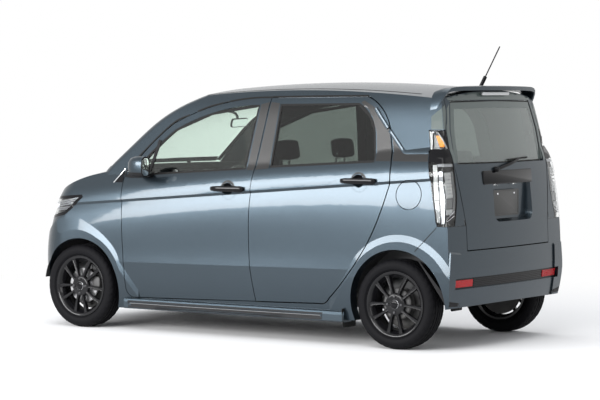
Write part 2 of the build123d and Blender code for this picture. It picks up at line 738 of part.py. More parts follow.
# Fuel tank and exhaust, seen from below
with BuildPart() as fuel_tank:
    with BuildSketch(Plane.XY.offset(FLOOR_HEIGHT - FLOOR_THICKNESS / 2 - 30)):
        with Locations((60, -60)):
            RectangleRounded(560, 760, 60)
    extrude(amount=30)
save(fuel_tank.part, "fuel_tank")

EXHAUST_SIDE = 420
EXHAUST_HEIGHT = 152
with BuildPart() as exhaust:
    with BuildLine():
        pipe_line = FilletPolyline((-1085, 300, 205), (-1000, 345, EXHAUST_HEIGHT),
                                   (560, EXHAUST_SIDE, EXHAUST_HEIGHT),
                                   (800, EXHAUST_SIDE - 120, 215), (1020, 300, 215), radius=60)
    with BuildSketch(Plane(pipe_line @ 0, z_dir=pipe_line % 0)):
        Circle(19)
    sweep()
save(exhaust.part, "exhaust")

# Wheels: an alloy rim with five twin spokes, fused with its brake disc or drum
RIM_RADIUS = RIM_DIAMETER / 2
RIM_HALF = 69
SPOKE_PAIRS = 5


def rim_part(drum):
    with BuildPart() as wheel:
        with BuildSketch(Plane.XZ):
            with BuildLine():
                Polyline(
                    (RIM_RADIUS + 7, -RIM_HALF), (RIM_RADIUS + 7, 5 - RIM_HALF),
                    (RIM_RADIUS - 0.5, 10 - RIM_HALF), (RIM_RADIUS - 0.5, 28 - RIM_HALF), (172, -25),
                    (172, 20), (RIM_RADIUS - 0.5, 50), (RIM_RADIUS - 0.5, 59), (RIM_RADIUS + 7, 64),
                    (RIM_RADIUS + 7, RIM_HALF), (183, RIM_HALF), (181, 52), (164, 26), (164, -27),
                    (182, 30 - RIM_HALF), (182, -RIM_HALF), close=True)
            make_face()
        revolve(axis=Axis.Z)
        hub = HUB_FACE - WHEEL_SIDE
        with BuildSketch(Plane.XY.offset(hub)):
            Circle(68)
            Circle(27, mode=Mode.SUBTRACT)
            with PolarLocations(BOLT_CIRCLE / 2, 4):
                Circle(6.5, mode=Mode.SUBTRACT)
        extrude(amount=26)
        with BuildPart(mode=Mode.PRIVATE) as spokes:
            with BuildSketch(Plane.XZ):
                Polygon((55, hub + 2), (55, hub + 26), (110, hub + 22), (174, RIM_HALF - 6), (182, 50),
                        (166, 30), (110, hub - 6), align=None)
            revolve(axis=Axis.Z)
            with BuildSketch(Plane.XY):
                with PolarLocations(0, SPOKE_PAIRS):
                    for lean in (-1, 1):
                        Polygon((40, lean * 6), (60, lean * 22), (183, lean * 40), (183, lean * 19), align=None)
            extrude(amount=120, mode=Mode.INTERSECT)
        add(spokes.part)
        brake_radius, brake_start = (100, -12) if drum else (118, 16)
        with BuildSketch(Plane.XY.offset(brake_start)):
            Circle(brake_radius)
        extrude(amount=hub - brake_start if drum else 12)
        with BuildSketch(Plane.XY.offset(brake_start)):
            Circle(68)
        extrude(amount=hub - brake_start)
        with BuildSketch(Plane.XY.offset(-40)):
            Circle(SPINDLE_RADIUS + 0.5)
        extrude(amount=hub + 38, mode=Mode.SUBTRACT)
    return wheel.part


with BuildPart() as tyre:
    with BuildSketch(Plane.XZ):
        with BuildLine():
            right = Polyline((RIM_RADIUS + 0.5, -57), (RIM_RADIUS + 0.5, 57))
            Line((RIM_RADIUS + 0.5, 57), (206, 66))
            ThreePointArc((206, 66), (236, TYRE_WIDTH / 2), (266, 72))
            ThreePointArc((266, 72), (277, 62), (280, 50))
            ThreePointArc((280, 50), (TYRE_DIAMETER / 2, 0), (280, -50))
            ThreePointArc((280, -50), (277, -62), (266, -72))
            ThreePointArc((266, -72), (236, -TYRE_WIDTH / 2), (206, -66))
            Line((206, -66), (RIM_RADIUS + 0.5, -57))
        make_face()
    revolve(axis=Axis.Z)

front_rim = rim_part(drum=False)
rear_rim = rim_part(drum=True)
for end, x, wheel_rim in (("front", FRONT_AXLE, front_rim), ("rear", REAR_AXLE, rear_rim)):
    for side_name, side in (("left", -1), ("right", 1)):
        plane = Plane((x, side * WHEEL_SIDE, AXLE_HEIGHT), x_dir=(1, 0, 0), z_dir=(0, side, 0))
        save(plane.from_local_coords(wheel_rim), f"rim_{end}_{side_name}")
        save(plane.from_local_coords(tyre.part), f"tyre_{end}_{side_name}")

# Cabin: dashboard, steering wheel on the right, seats
with BuildPart() as dashboard:
    with BuildSketch(Plane.XZ.offset(-620)):
        with BuildLine():
            Polyline((-1050, 700), (-1050, 985), (-900, 985), (-770, 940), (-740, 860), (-800, 700),
                     close=True)
        make_face()
    extrude(amount=1240)
    add(inner, mode=Mode.INTERSECT)
save(dashboard.part, "dashboard")

WHEEL_HUB = (-600, 330, 915)
COLUMN_TILT = 26
steering_plane = Plane(WHEEL_HUB, x_dir=(0, 1, 0), z_dir=(cos(radians(COLUMN_TILT)), 0, sin(radians(COLUMN_TILT))))
with BuildPart() as steering_wheel:
    with BuildSketch(Plane.XZ):
        with Locations((175, 0)):
            Circle(14)
    revolve(axis=Axis.Z)
    with BuildSketch(Plane.XY.offset(-8)):
        Circle(70)
        Rectangle(340, 36)
        with Locations((0, -85)):
            Rectangle(36, 160)
    extrude(amount=14)
    with BuildSketch(Plane.XY.offset(-100)):
        Circle(30)
    extrude(amount=95)
save(steering_plane.from_local_coords(steering_wheel.part), "steering_wheel")


def seat_section(x, cushion_top, back_top, back_lean, cushion_length):
    """A seat's side view: cushion and leaning back."""
    with BuildSketch(Plane.XZ) as section:
        with BuildLine():
            Polyline((x - cushion_length, cushion_top - 120), (x - cushion_length - 20, cushion_top - 20),
                     (x - cushion_length + 20, cushion_top + 10), (x - 30, cushion_top - 10),
                     (x + back_lean - 50, back_top), (x + back_lean + 40, back_top), (x + 90, cushion_top - 60),
                     (x + 60, cushion_top - 120), close=True)
        make_face()
        fillet(section.vertices(), 15)
    return section.sketch


FRONT_SEAT = dict(x=30, cushion_top=540, back_top=1130, back_lean=150, cushion_length=460)
REAR_SEAT = dict(x=1060, cushion_top=560, back_top=1090, back_lean=110, cushion_length=440)
SEAT_SIDE = 330
with BuildPart() as front_seats:
    for side in (-1, 1):
        with BuildSketch(Plane.XZ.offset(side * SEAT_SIDE - 235)):
            add(seat_section(**FRONT_SEAT))
        extrude(amount=470)
        with Locations((-160, side * SEAT_SIDE, 313)):
            Box(340, 380, 220)
        with Locations((190, side * SEAT_SIDE, 1215)):
            Box(80, 250, 150)
save(front_seats.part, "front_seats")

with BuildPart() as rear_seat:
    with BuildSketch(Plane.XZ.offset(-530)):
        add(seat_section(**REAR_SEAT))
    extrude(amount=1060)
    for side in (-1, 1):
        with Locations((1165, side * 270, 1150)):
            Box(75, 240, 130)
    with Locations((920, 0, 398)):
        Box(280, 900, 90)
save(rear_seat.part, "rear_seat")

# Roof spoiler: a hood over the rear glass, open below, with side fins that reach down the pillars
SPOILER_TAIL = 1692
SPOILER_SIDE = 584
SPOILER_SKIN = 16


def spoiler_form(inset):
    """The spoiler's outline from behind, lofted from its root to its tail."""
    with BuildPart() as form:
        # columns: x, half width at the top, half width at the foot, top height, foot height
        for x, top_half, foot_half, top, foot in ((GATE_FRONT + 14, 556, SPOILER_SIDE + 10, 1606, 1452),
                                                  (SPOILER_TAIL, 520, 566, 1600, 1520)):
            with BuildSketch(Plane((x, 0, 0), x_dir=(0, 1, 0), z_dir=(1, 0, 0))) as outline:
                with BuildLine():
                    Polyline((foot_half - inset, foot), (-foot_half + inset, foot),
                             (-top_half + inset, top - inset - 45))
                    Line((-top_half + inset, top - inset - 45), (-top_half + 45 + inset, top - inset))
                    ThreePointArc((-top_half + 45 + inset, top - inset), (0, top + 22 - inset),
                                  (top_half - 45 - inset, top - inset))
                    Line((top_half - 45 - inset, top - inset), (top_half - inset, top - inset - 45))
                    Line((top_half - inset, top - inset - 45), (foot_half - inset, foot))
                make_face()
        loft()
    return form.part


with BuildPart() as rear_spoiler:
    add(spoiler_form(0))
    add(spoiler_form(SPOILER_SKIN), mode=Mode.SUBTRACT)
    with BuildSketch(Plane.XZ.offset(-REACH)):
        with BuildLine():
            Polyline((1400, 1400), (1475, 1440), (1560, 1520))
            ThreePointArc((1560, 1520), (1610, 1562), (SPOILER_TAIL + 5, 1574))
            Polyline((SPOILER_TAIL + 5, 1574), (1800, 1574), (1800, 1400), (1400, 1400))
        make_face()
    extrude(amount=2 * REACH, mode=Mode.SUBTRACT)
    add(outer, mode=Mode.SUBTRACT)
save(rear_spoiler.part, "rear_spoiler")

MIRROR_CENTRE = (-672, 1102)
MIRROR_INNER = 772
MIRROR_OUTER = 862
with BuildPart() as mirror_left:
    # columns: distance from the car's middle, length, height, forward shift
    for side, length, height, shift in ((MIRROR_INNER, 96, 120, 12), (MIRROR_INNER + 40, 126, 146, 0),
                                        (MIRROR_OUTER, 84, 96, 10)):
        with BuildSketch(Plane.XZ.offset(side)):
            with Locations((MIRROR_CENTRE[0] + shift, MIRROR_CENTRE[1])):
                RectangleRounded(length, height, 0.32 * length)
    loft()
    with BuildSketch(Plane.XZ.offset(680)):
        with Locations((-700, 1050)):
            RectangleRounded(110, 34, 12)
    extrude(amount=120)
    with BuildSketch(Plane.XZ.offset(MIRROR_INNER + 8)):
        with Locations((MIRROR_CENTRE[0] + 62, MIRROR_CENTRE[1])):
            RectangleRounded(40, 104, 12)
    extrude(amount=66, mode=Mode.SUBTRACT)
    add(outer, mode=Mode.SUBTRACT)
both_sides(mirror_left.part, "mirror")

antenna_plane = Plane((1315, 228, 1600), x_dir=(0, 1, 0), z_dir=(0.48, 0, 0.877))
with BuildPart() as antenna:
    # columns: radius, length
    for radius, length in ((12, 110), (4, 330)):
        with BuildSketch(antenna_plane):
            Circle(radius)
        extrude(amount=length)
    add(outer, mode=Mode.SUBTRACT)
save(antenna.part, "antenna")
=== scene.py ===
import math

import bmesh
import bpy
from mathutils import Matrix, Vector
from mathutils.bvhtree import BVHTree


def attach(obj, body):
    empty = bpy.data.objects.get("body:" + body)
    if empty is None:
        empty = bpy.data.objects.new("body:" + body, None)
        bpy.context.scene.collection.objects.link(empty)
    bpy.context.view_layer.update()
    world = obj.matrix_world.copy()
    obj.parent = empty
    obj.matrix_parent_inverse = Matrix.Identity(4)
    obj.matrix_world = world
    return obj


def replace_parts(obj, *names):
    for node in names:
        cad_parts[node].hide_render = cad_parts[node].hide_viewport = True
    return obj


bl_info = {
    "name": "Tall Wagon Finish",
    "version": (1, 0, 0),
    "blender": (4, 5, 0),
    "location": "3D View > Sidebar > Wagon",
    "description": "Paint, glass, lamps, trim, tyres and cabin for a tall-wagon kei car",
    "category": "Object",
}

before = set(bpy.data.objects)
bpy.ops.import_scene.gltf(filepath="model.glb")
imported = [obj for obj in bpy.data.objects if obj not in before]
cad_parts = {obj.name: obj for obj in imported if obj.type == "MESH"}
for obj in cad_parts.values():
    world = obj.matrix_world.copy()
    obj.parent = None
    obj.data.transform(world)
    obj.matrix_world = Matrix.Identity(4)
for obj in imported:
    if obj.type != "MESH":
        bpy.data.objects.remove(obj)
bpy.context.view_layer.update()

# All tables below are in millimetres: +X rearwards, +Y to the car's right, +Z up
MM = 0.001
SIDES = (("left", -1), ("right", 1))
FRONT_AXLE = -1247.5
REAR_AXLE = 1272.5
AXLE_HEIGHT = 281.25
WHEEL_SIDE = 652.5


# ---------------------------------------------------------------- settings


def colour_setting(name, description, default):
    return bpy.props.FloatVectorProperty(name=name, description=description, subtype="COLOR", size=3, min=0,
                                         max=1, default=default)


class PaintSettings(bpy.types.PropertyGroup):
    body_colour: colour_setting("Body colour", "Base colour of the metallic paint", (0.032, 0.046, 0.058))
    flake: bpy.props.FloatProperty(
        name="Flake", description="How strongly the metal flakes sparkle", min=0, max=1, default=0.35)
    film_colour: colour_setting("Pillar film", "Colour of the film on the door pillars",
                                (0.015, 0.0148, 0.0148))


class GlassSettings(bpy.types.PropertyGroup):
    clear_tint: colour_setting(
        "Front tint", "Colour that the windshield and front windows let through", (0.86, 0.96, 0.90))
    privacy_tint: colour_setting(
        "Privacy tint", "Colour that the rear windows let through", (0.125, 0.145, 0.135))
    tailgate_tint: colour_setting(
        "Tailgate tint", "Colour that the tailgate's window lets through", (0.55, 0.61, 0.585))


class WheelSettings(bpy.types.PropertyGroup):
    rim_colour: colour_setting("Rim colour", "Lacquer on the alloy rims", (0.006, 0.006, 0.007))
    groove: bpy.props.FloatProperty(
        name="Tread depth", description="Depth of the tyre's grooves", subtype="DISTANCE",
        unit="LENGTH", min=0.001, max=0.009, default=0.006)


class CabinSettings(bpy.types.PropertyGroup):
    fabric_colour: colour_setting("Seat fabric", "Colour of the woven seat cloth", (0.055, 0.055, 0.060))
    lining_colour: colour_setting("Headlining", "Colour of the roof lining", (0.42, 0.41, 0.39))


class StageSettings(bpy.types.PropertyGroup):
    floor_tone: bpy.props.FloatProperty(
        name="Floor tone", description="How pale the floor is", min=0, max=1, default=0.88)
    key_power: bpy.props.FloatProperty(
        name="Light power", description="Power that all the light panels share out", subtype="POWER",
        unit="POWER", min=0, max=2000, default=520)


# ---------------------------------------------------------------- node trees


class Tree:
    """A node tree with short calls for adding and linking."""

    def __init__(self, tree):
        self.tree = tree

    def add(self, kind, **values):
        node = self.tree.nodes.new("ShaderNode" + kind)
        for key, value in values.items():
            setattr(node, key, value)
        return node

    def link(self, source, target):
        self.tree.links.new(source, target)

    def put(self, value, target):
        """Links a socket, or sets a number or colour."""
        if isinstance(value, bpy.types.NodeSocket):
            self.link(value, target)
        else:
            target.default_value = value

    def math(self, operation, first, second, clamp=False):
        node = self.add("Math", operation=operation, use_clamp=clamp)
        self.put(first, node.inputs[0])
        self.put(second, node.inputs[1])
        return node.outputs[0]

    def remap(self, value, low, high, start=0, end=1, **values):
        """Carries start to end over to low to high."""
        node = self.add("MapRange", **values)
        for label, number in (("Value", value), ("From Min", start), ("From Max", end), ("To Min", low),
                              ("To Max", high)):
            self.put(number, node.inputs[label])
        return node.outputs[0]

    def mix(self, factor, first, second):
        node = self.add("Mix", data_type="RGBA")
        self.put(factor, node.inputs[0])
        for place, value in ((6, first), (7, second)):
            self.put((*value, 1) if isinstance(value, tuple) else value, node.inputs[place])
        return node.outputs[2]

    def texture(self, kind, place, scale, **values):
        node = self.add("Tex" + kind, **values)
        self.link(place, node.inputs["Vector"])
        self.put(scale, node.inputs["Scale"])
        return node

    def noise(self, place, scale, detail=2):
        node = self.texture("Noise", place, scale)
        node.inputs["Detail"].default_value = detail
        return node.outputs[0]

    def choose(self, factor, first, second, output):
        """Sends a mixture of two shaders to the tree's output."""
        pick = self.add("MixShader")
        for place, source in enumerate((factor, first.outputs[0], second.outputs[0])):
            self.link(source, pick.inputs[place])
        self.link(pick.outputs[0], self.tree.nodes[output].inputs["Surface"])


def moulded_grain(tree, place, scale):
    cells = tree.texture("Voronoi", place, scale, feature="DISTANCE_TO_EDGE")
    fine = tree.noise(place, scale, 4)
    pits = tree.math("MULTIPLY", cells.outputs["Distance"], 2.5, clamp=True)
    return fine, tree.math("ADD", pits, tree.math("MULTIPLY", fine, 0.4))


def metal_flake(tree, place, scale):
    split = tree.add("SeparateColor")
    tree.link(tree.texture("Voronoi", place, scale).outputs["Color"], split.inputs[0])
    peel = tree.noise(place, 60)
    return split.outputs[0], tree.math("ADD", tree.math("MULTIPLY", split.outputs[1], 0.2), peel)


def woven_cloth(tree, place, scale):
    threads = []
    for direction in ("X", "Z"):
        wave = tree.texture("Wave", place, scale, bands_direction=direction)
        wave.inputs["Distortion"].default_value = 0.6
        threads.append(wave.outputs[1])
    return tree.math("MULTIPLY", *threads), tree.math("MAXIMUM", *threads)


def brushed(tree, place, scale):
    stretch = tree.add("Mapping")
    stretch.inputs["Scale"].default_value = (1.0, 1.0, 26.0)
    tree.link(place, stretch.inputs["Vector"])
    lines = tree.noise(stretch.outputs[0], scale, 3)
    return lines, lines


# Node groups made so far, by name
GROUPS = {}


def open_group(name, inputs, outputs):
    """A new shader group with number inputs and the named number outputs, and its object place."""
    group = bpy.data.node_groups.new(name, "ShaderNodeTree")
    for label, default in inputs:
        made = group.interface.new_socket(label, in_out="INPUT", socket_type="NodeSocketFloat")
        made.default_value = default
    for label in outputs:
        group.interface.new_socket(label, in_out="OUTPUT", socket_type="NodeSocketFloat")
    GROUPS[name] = group
    tree = Tree(group)
    return (tree, group.nodes.new("NodeGroupInput").outputs, group.nodes.new("NodeGroupOutput").inputs,
            tree.add("TexCoord").outputs["Object"])


def build_groups():
    """The surface effects that several finishes share. Each puts out Tone, Fine and Height."""
    for name, scale, cloud, make in (
            ("Moulded Grain", 300.0, 6.0, moulded_grain), ("Metal Flake", 1800.0, 1.5, metal_flake),
            ("Woven Cloth", 260.0, 8.0, woven_cloth), ("Brushed", 90.0, 4.0, brushed)):
        tree, enter, leave, place = open_group(name, (("Scale", scale), ("Cloud", cloud)),
                                               ("Tone", "Fine", "Height"))
        tree.link(tree.noise(place, enter["Cloud"]), leave["Tone"])
        for label, value in zip(("Fine", "Height"), make(tree, place, enter["Scale"])):
            tree.link(value, leave[label])
    # Dust that thins out from a body's bottom to its top
    tree, enter, leave, place = open_group("Road Film", (("Top", 0.45), ("Bottom", 0.0)), ("Mask",))
    split = tree.add("SeparateXYZ")
    tree.link(place, split.inputs[0])
    fall = tree.remap(split.outputs[2], 1, 0, enter["Bottom"], enter["Top"])
    tree.link(tree.math("MULTIPLY", fall, tree.noise(place, 14, 6), clamp=True), leave["Mask"])


# Materials made so far, by name, and the colour of the dust on them
FINISHES = {}
DUST = (0.20, 0.19, 0.17)


def finish(name, colour, rough, metal=0.0, group="Moulded Grain", scale=300.0, cloud=6.0, tone=0.12,
           spread=0.06, bump=0.1, depth=0.0003, dust=0.0, **sockets):
    """A procedural finish: colour and roughness vary through a shared group, which also feeds a bump."""
    material = bpy.data.materials.new(name)
    material.use_nodes = True
    material.diffuse_color = (*colour, 1)
    tree = Tree(material.node_tree)
    shader = material.node_tree.nodes["Principled BSDF"]
    effect = tree.add("Group", node_tree=GROUPS[group])
    effect.inputs["Scale"].default_value = scale
    effect.inputs["Cloud"].default_value = cloud
    paler = tuple(min(1.0, c * (1 + tone)) for c in colour)
    darker = tuple(c * (1 - tone) for c in colour)
    blend = tree.math("ADD", tree.math("MULTIPLY", effect.outputs["Tone"], 0.5),
                      tree.math("MULTIPLY", effect.outputs["Fine"], 0.5))
    tint = tree.mix(blend, darker, paler)
    roughness = tree.remap(effect.outputs["Fine"], max(0.0, rough - spread), min(1.0, rough + spread))
    if dust:
        film = tree.add("Group", node_tree=GROUPS["Road Film"])
        mask = tree.math("MULTIPLY", film.outputs["Mask"], dust)
        tint = tree.mix(mask, tint, DUST)
        roughness = tree.math("ADD", roughness, tree.math("MULTIPLY", mask, 0.3), clamp=True)
    tree.link(tint, shader.inputs["Base Color"])
    tree.link(roughness, shader.inputs["Roughness"])
    shader.inputs["Metallic"].default_value = metal
    for key, value in sockets.items():
        shader.inputs[key.replace("_", " ")].default_value = value
    if bump:
        relief = tree.add("Bump")
        relief.inputs["Strength"].default_value = bump
        relief.inputs["Distance"].default_value = depth
        tree.link(effect.outputs["Height"], relief.inputs["Height"])
        tree.link(relief.outputs[0], shader.inputs["Normal"])
    FINISHES[name] = material


def glass(name, tint, transmission=1.0, ior=1.45):
    """A solid see-through finish. Its tint and gloss vary a little, as on glass that was wiped."""
    finish(name, tint, 0.02, scale=3.0, cloud=1.2, tone=0.03, spread=0.02, bump=0, IOR=ior,
           Transmission_Weight=transmission)


def dress(node, finish_name):
    """Gives a CAD node one of the finishes."""
    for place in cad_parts[node].material_slots:
        place.material = FINISHES[finish_name]


# ---------------------------------------------------------------- mesh building


def piece(mesh, name, finish_name, body="body", angle=35):
    """Turns a bmesh, or several, into a piece that rides on a body."""
    if isinstance(mesh, list):
        mesh = join(*mesh)
    bmesh.ops.recalc_face_normals(mesh, faces=mesh.faces)
    data = bpy.data.meshes.new(name)
    mesh.to_mesh(data)
    mesh.free()
    data.shade_smooth()
    data.set_sharp_from_angle(angle=math.radians(angle))
    data.materials.append(FINISHES[finish_name])
    thing = bpy.data.objects.new(name, data)
    bpy.context.collection.objects.link(thing)
    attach(thing, body)
    return thing


def soften(thing, width, segments=2, angle=40):
    """Rounds a piece's sharp edges by a bevel, in millimetres."""
    rounding = thing.modifiers.new("Rounded edges", "BEVEL")
    rounding.width = width * MM
    rounding.segments = segments
    rounding.limit_method = "ANGLE"
    rounding.angle_limit = math.radians(angle)
    return thing


def point(x, y, z):
    return Vector((x * MM, y * MM, z * MM))


# Search trees of the CAD nodes' skins, made when they are first needed
SKINS = {}
# The upright line that a corner view looks in at: x, and distance from the car's middle
CORNER_HUB = (1350, 430)


def straight(place, direction):
    """Looks at the car along one direction."""
    direction = Vector(direction)

    def cast(a, b):
        start = point(*place(a, b))
        middle = start - direction * start.dot(direction)
        return start, direction, middle - direction * 0.6
    return cast


def around(sign):
    """Looks at a rear corner from all round it: degrees from straight back, and height."""
    def cast(a, b):
        out = Vector((math.cos(math.radians(a)), sign * math.sin(math.radians(a)), 0))
        hub = point(CORNER_HUB[0], sign * CORNER_HUB[1], b)
        return hub + out * 2, -out, hub + out * 0.3
    return cast


# For each view: how a 2D point starts its ray, the ray's direction, and where to look if it misses
VIEWS = {
    "left": straight(lambda a, b: (a, -2000, b), (0, 1, 0)),
    "right": straight(lambda a, b: (a, 2000, b), (0, -1, 0)),
    "rear": straight(lambda a, b: (3000, a, b), (-1, 0, 0)),
    "front": straight(lambda a, b: (-3000, a, b), (1, 0, 0)),
    "top": straight(lambda a, b: (a, b, 3000), (0, 0, -1)),
    "left corner": around(-1),
    "right corner": around(1),
}


def skin(nodes):
    """The surfaces of one CAD node or several, ready for rays."""
    if nodes not in SKINS:
        corners, faces = [], []
        for node in (nodes,) if isinstance(nodes, str) else nodes:
            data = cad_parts[node].data
            start = len(corners)
            corners += [v.co.copy() for v in data.vertices]
            faces += [[start + i for i in polygon.vertices] for polygon in data.polygons]
        SKINS[nodes] = BVHTree.FromPolygons(corners, faces)
    return SKINS[nodes]


def land(nodes, view, a, b):
    """Where a 2D point of a view meets the car's skin, and the skin's normal there."""
    start, direction, near = VIEWS[view](a, b)
    spot, normal, _, _ = skin(nodes).ray_cast(start, direction)
    if spot is None:
        spot, normal, _, _ = skin(nodes).find_nearest(near)
    if normal.dot(direction) > 0:
        normal = -normal
    return spot, normal


def curve_through(points, count, smooth=False):
    """Points at even steps along a polyline, or along a smooth curve through its points."""
    points = [Vector(p) for p in points]
    if smooth and len(points) > 2:
        dense = []
        for i in range(len(points) - 1):
            before = points[max(i - 1, 0)]
            after = points[min(i + 2, len(points) - 1)]
            first, last = points[i], points[i + 1]
            for step in range(12):
                t = step / 12
                dense.append(0.5 * ((2 * first) + (last - before) * t
                                    + (2 * before - 5 * first + 4 * last - after) * t * t
                                    + (3 * first - before - 3 * last + after) * t ** 3))
        dense.append(points[-1])
        points = dense
    lengths = [0.0]
    for first, last in zip(points, points[1:]):
        lengths.append(lengths[-1] + (last - first).length)
    found, segment = [], 0
    for step in range(count):
        target = lengths[-1] * step / (count - 1)
        while segment < len(points) - 2 and lengths[segment + 1] < target:
            segment += 1
        span = lengths[segment + 1] - lengths[segment]
        share = (target - lengths[segment]) / span if span else 0
        found.append(points[segment].lerp(points[segment + 1], share))
    return found


def cover(nodes, view, first, second, columns, rows, lift, depth):
    """A thin closed plate that follows the skin between two lines drawn in a view."""
    first = curve_through(first, columns)
    second = curve_through(second, columns)
    mesh = bmesh.new()
    layers = ([], [])
    for r in range(rows):
        share = r / (rows - 1)
        lines = ([], [])
        for p, q in zip(first, second):
            flat = p.lerp(q, share)
            spot, normal = land(nodes, view, flat.x, flat.y)
            lines[0].append(mesh.verts.new(spot + normal * lift * MM))
            lines[1].append(mesh.verts.new(spot + normal * (lift - depth) * MM))
        layers[0].append(lines[0])
        layers[1].append(lines[1])
    for grid in layers:
        for low, high in zip(grid, grid[1:]):
            for i in range(columns - 1):
                mesh.faces.new((low[i], low[i + 1], high[i + 1], high[i]))
    rim_top, rim_low = (grid[0] + [row[-1] for row in grid[1:]] + grid[-1][-2::-1]
                        + [row[0] for row in grid[-2:0:-1]] for grid in layers)
    count = len(rim_top)
    for i in range(count):
        j = (i + 1) % count
        mesh.faces.new((rim_top[i], rim_top[j], rim_low[j], rim_low[i]))
    return mesh


def loft(rings, closed=False):
    """A skin through rings of points, with flat ends unless the last ring meets the first."""
    mesh = bmesh.new()
    rings = [[mesh.verts.new(spot) for spot in ring] for ring in rings]
    size = len(rings[0])
    for first, second in zip(rings, rings[1:] + rings[:closed]):
        for i in range(size):
            j = (i + 1) % size
            mesh.faces.new((first[i], first[j], second[j], second[i]))
    if not closed:
        mesh.faces.new(rings[0])
        mesh.faces.new(rings[-1][::-1])
    return mesh


def sweep(path, ups, profile, closed=False):
    """A strip with one cross-section. Each profile point is (across, up) in millimetres."""
    rings = []
    count = len(path)
    for i, (spot, up) in enumerate(zip(path, ups)):
        before = path[i - 1] if i or closed else path[i]
        after = path[(i + 1) % count] if i < count - 1 or closed else path[i]
        along = (after - before).normalized()
        across = along.cross(up).normalized()
        rise = across.cross(along)
        rings.append([spot + across * a * MM + rise * b * MM for a, b in profile])
    return loft(rings, closed)


def flat_ring(outline, place, profile, height=0):
    """A strip that runs round a flat outline, lifted off its place by a height."""
    path = [place @ point(x, y, height) for x, y in outline]
    return sweep(path, [place.to_3x3() @ Vector((0, 0, 1))] * len(path), profile, closed=True)


def ring_profile(radius, sides=10, flat=1.0):
    """A round or flattened cross-section."""
    return [(radius * math.cos(math.tau * i / sides), flat * radius * math.sin(math.tau * i / sides))
            for i in range(sides)]


def bead(nodes, view, line, profile, lift=0.0, count=40, smooth=False, closed=False):
    """A strip along a line drawn in a view, lying on the skin."""
    if closed:
        line = list(line) + [line[0]]
    flats = curve_through(line, count + (1 if closed else 0), smooth)
    if closed:
        flats.pop()
    hits = [land(nodes, view, flat.x, flat.y) for flat in flats]
    path = [spot + normal * lift * MM for spot, normal in hits]
    return sweep(path, [normal for _, normal in hits], profile, closed)


def tube(points, radius, count=24, sides=12, smooth=True, up=(0, 0, 1)):
    """A round rod through points."""
    path = curve_through([point(*p) for p in points], count, smooth)
    return sweep(path, [Vector(up)] * len(path), ring_profile(radius, sides))


def lathe(profile, steps=64, place=None, shape=None):
    """A profile of (radius, height) points turned about Z; shape may change a point's radius."""
    mesh = bmesh.new()
    rings = []
    for step in range(steps):
        turn = math.tau * step / steps
        ring = []
        for radius, height in profile:
            reach = shape(step, radius, height) if shape else radius
            ring.append(mesh.verts.new(point(reach * math.cos(turn), reach * math.sin(turn), height)))
        rings.append(ring)
    for step in range(steps):
        low, high = rings[step], rings[(step + 1) % steps]
        for i in range(len(profile) - 1):
            mesh.faces.new((low[i], low[i + 1], high[i + 1], high[i]))
    bmesh.ops.remove_doubles(mesh, verts=mesh.verts, dist=1e-6)
    if place:
        mesh.transform(place)
    return mesh


def plate(outline, thickness, place=None, round_edge=0.0):
    """A flat outline in X and Y made thick in Z, its edges rounded by bevel."""
    mesh = bmesh.new()
    floor = mesh.faces.new([mesh.verts.new(point(x, y, 0)) for x, y in outline])
    up = bmesh.ops.extrude_face_region(mesh, geom=[floor])
    bmesh.ops.translate(mesh, verts=[v for v in up["geom"] if isinstance(v, bmesh.types.BMVert)],
                        vec=Vector((0, 0, thickness * MM)))
    bmesh.ops.recalc_face_normals(mesh, faces=mesh.faces)
    if round_edge:
        bmesh.ops.bevel(mesh, geom=mesh.edges[:], offset=round_edge * MM, segments=2, affect="EDGES",
                        profile=0.5)
    if place:
        mesh.transform(place)
    return mesh


def rounded_outline(width, height, corner, steps=6):
    """A rounded rectangle about the middle."""
    outline = []
    for quarter in range(4):
        cx = (width / 2 - corner) * (1 if quarter in (0, 3) else -1)
        cy = (height / 2 - corner) * (1 if quarter in (0, 1) else -1)
        for step in range(steps + 1):
            turn = math.tau / 4 * (quarter + step / steps)
            outline.append((cx + corner * math.cos(turn), cy + corner * math.sin(turn)))
    return outline


def at(x, y, z, across=(1, 0, 0), out=(0, 0, 1)):
    """A place whose local X runs across and whose local Z points out."""
    out = Vector(out).normalized()
    across = Vector(across)
    across = (across - out * across.dot(out)).normalized()
    turn = Matrix((across, out.cross(across), out)).transposed().to_4x4()
    return Matrix.Translation(point(x, y, z)) @ turn


def join(*meshes):
    """Several bmeshes as one."""
    whole = bmesh.new()
    for mesh in meshes:
        data = bpy.data.meshes.new("part")
        bmesh.ops.recalc_face_normals(mesh, faces=mesh.faces)
        mesh.to_mesh(data)
        mesh.free()
        whole.from_mesh(data)
        bpy.data.meshes.remove(data)
    return whole


def slab(width, height, corner, thickness, place, round_edge=0.0):
    """A plate in the shape of a rounded rectangle."""
    return plate(rounded_outline(width, height, corner), thickness, place, round_edge)


def facing(x, y, z, out):
    """A place whose local X runs across the car and whose local Z points out."""
    return at(x, y, z, (0, 1, 0), out)


def sideways(x, y, z, way):
    """A place whose local X runs rearwards and whose local Z points to one side."""
    return at(x, y, z, (1, 0, 0), (0, way, 0))


def ridge(foot, top, height, sunk=1):
    """A strip's cross-section with a flat top, its foot sunk into the skin."""
    return [(-foot, -sunk), (-top, height), (top, height), (foot, -sunk)]


def level(half, height, middle=None):
    """A line across the car, which may be higher or lower in its middle."""
    return [(-half, height), (0, height if middle is None else middle), (half, height)]


def flip(sign, line):
    """A line drawn for the right side, or its mirror image for the left."""
    return [(sign * a, b) for a, b in line]


# ---------------------------------------------------------------- operators


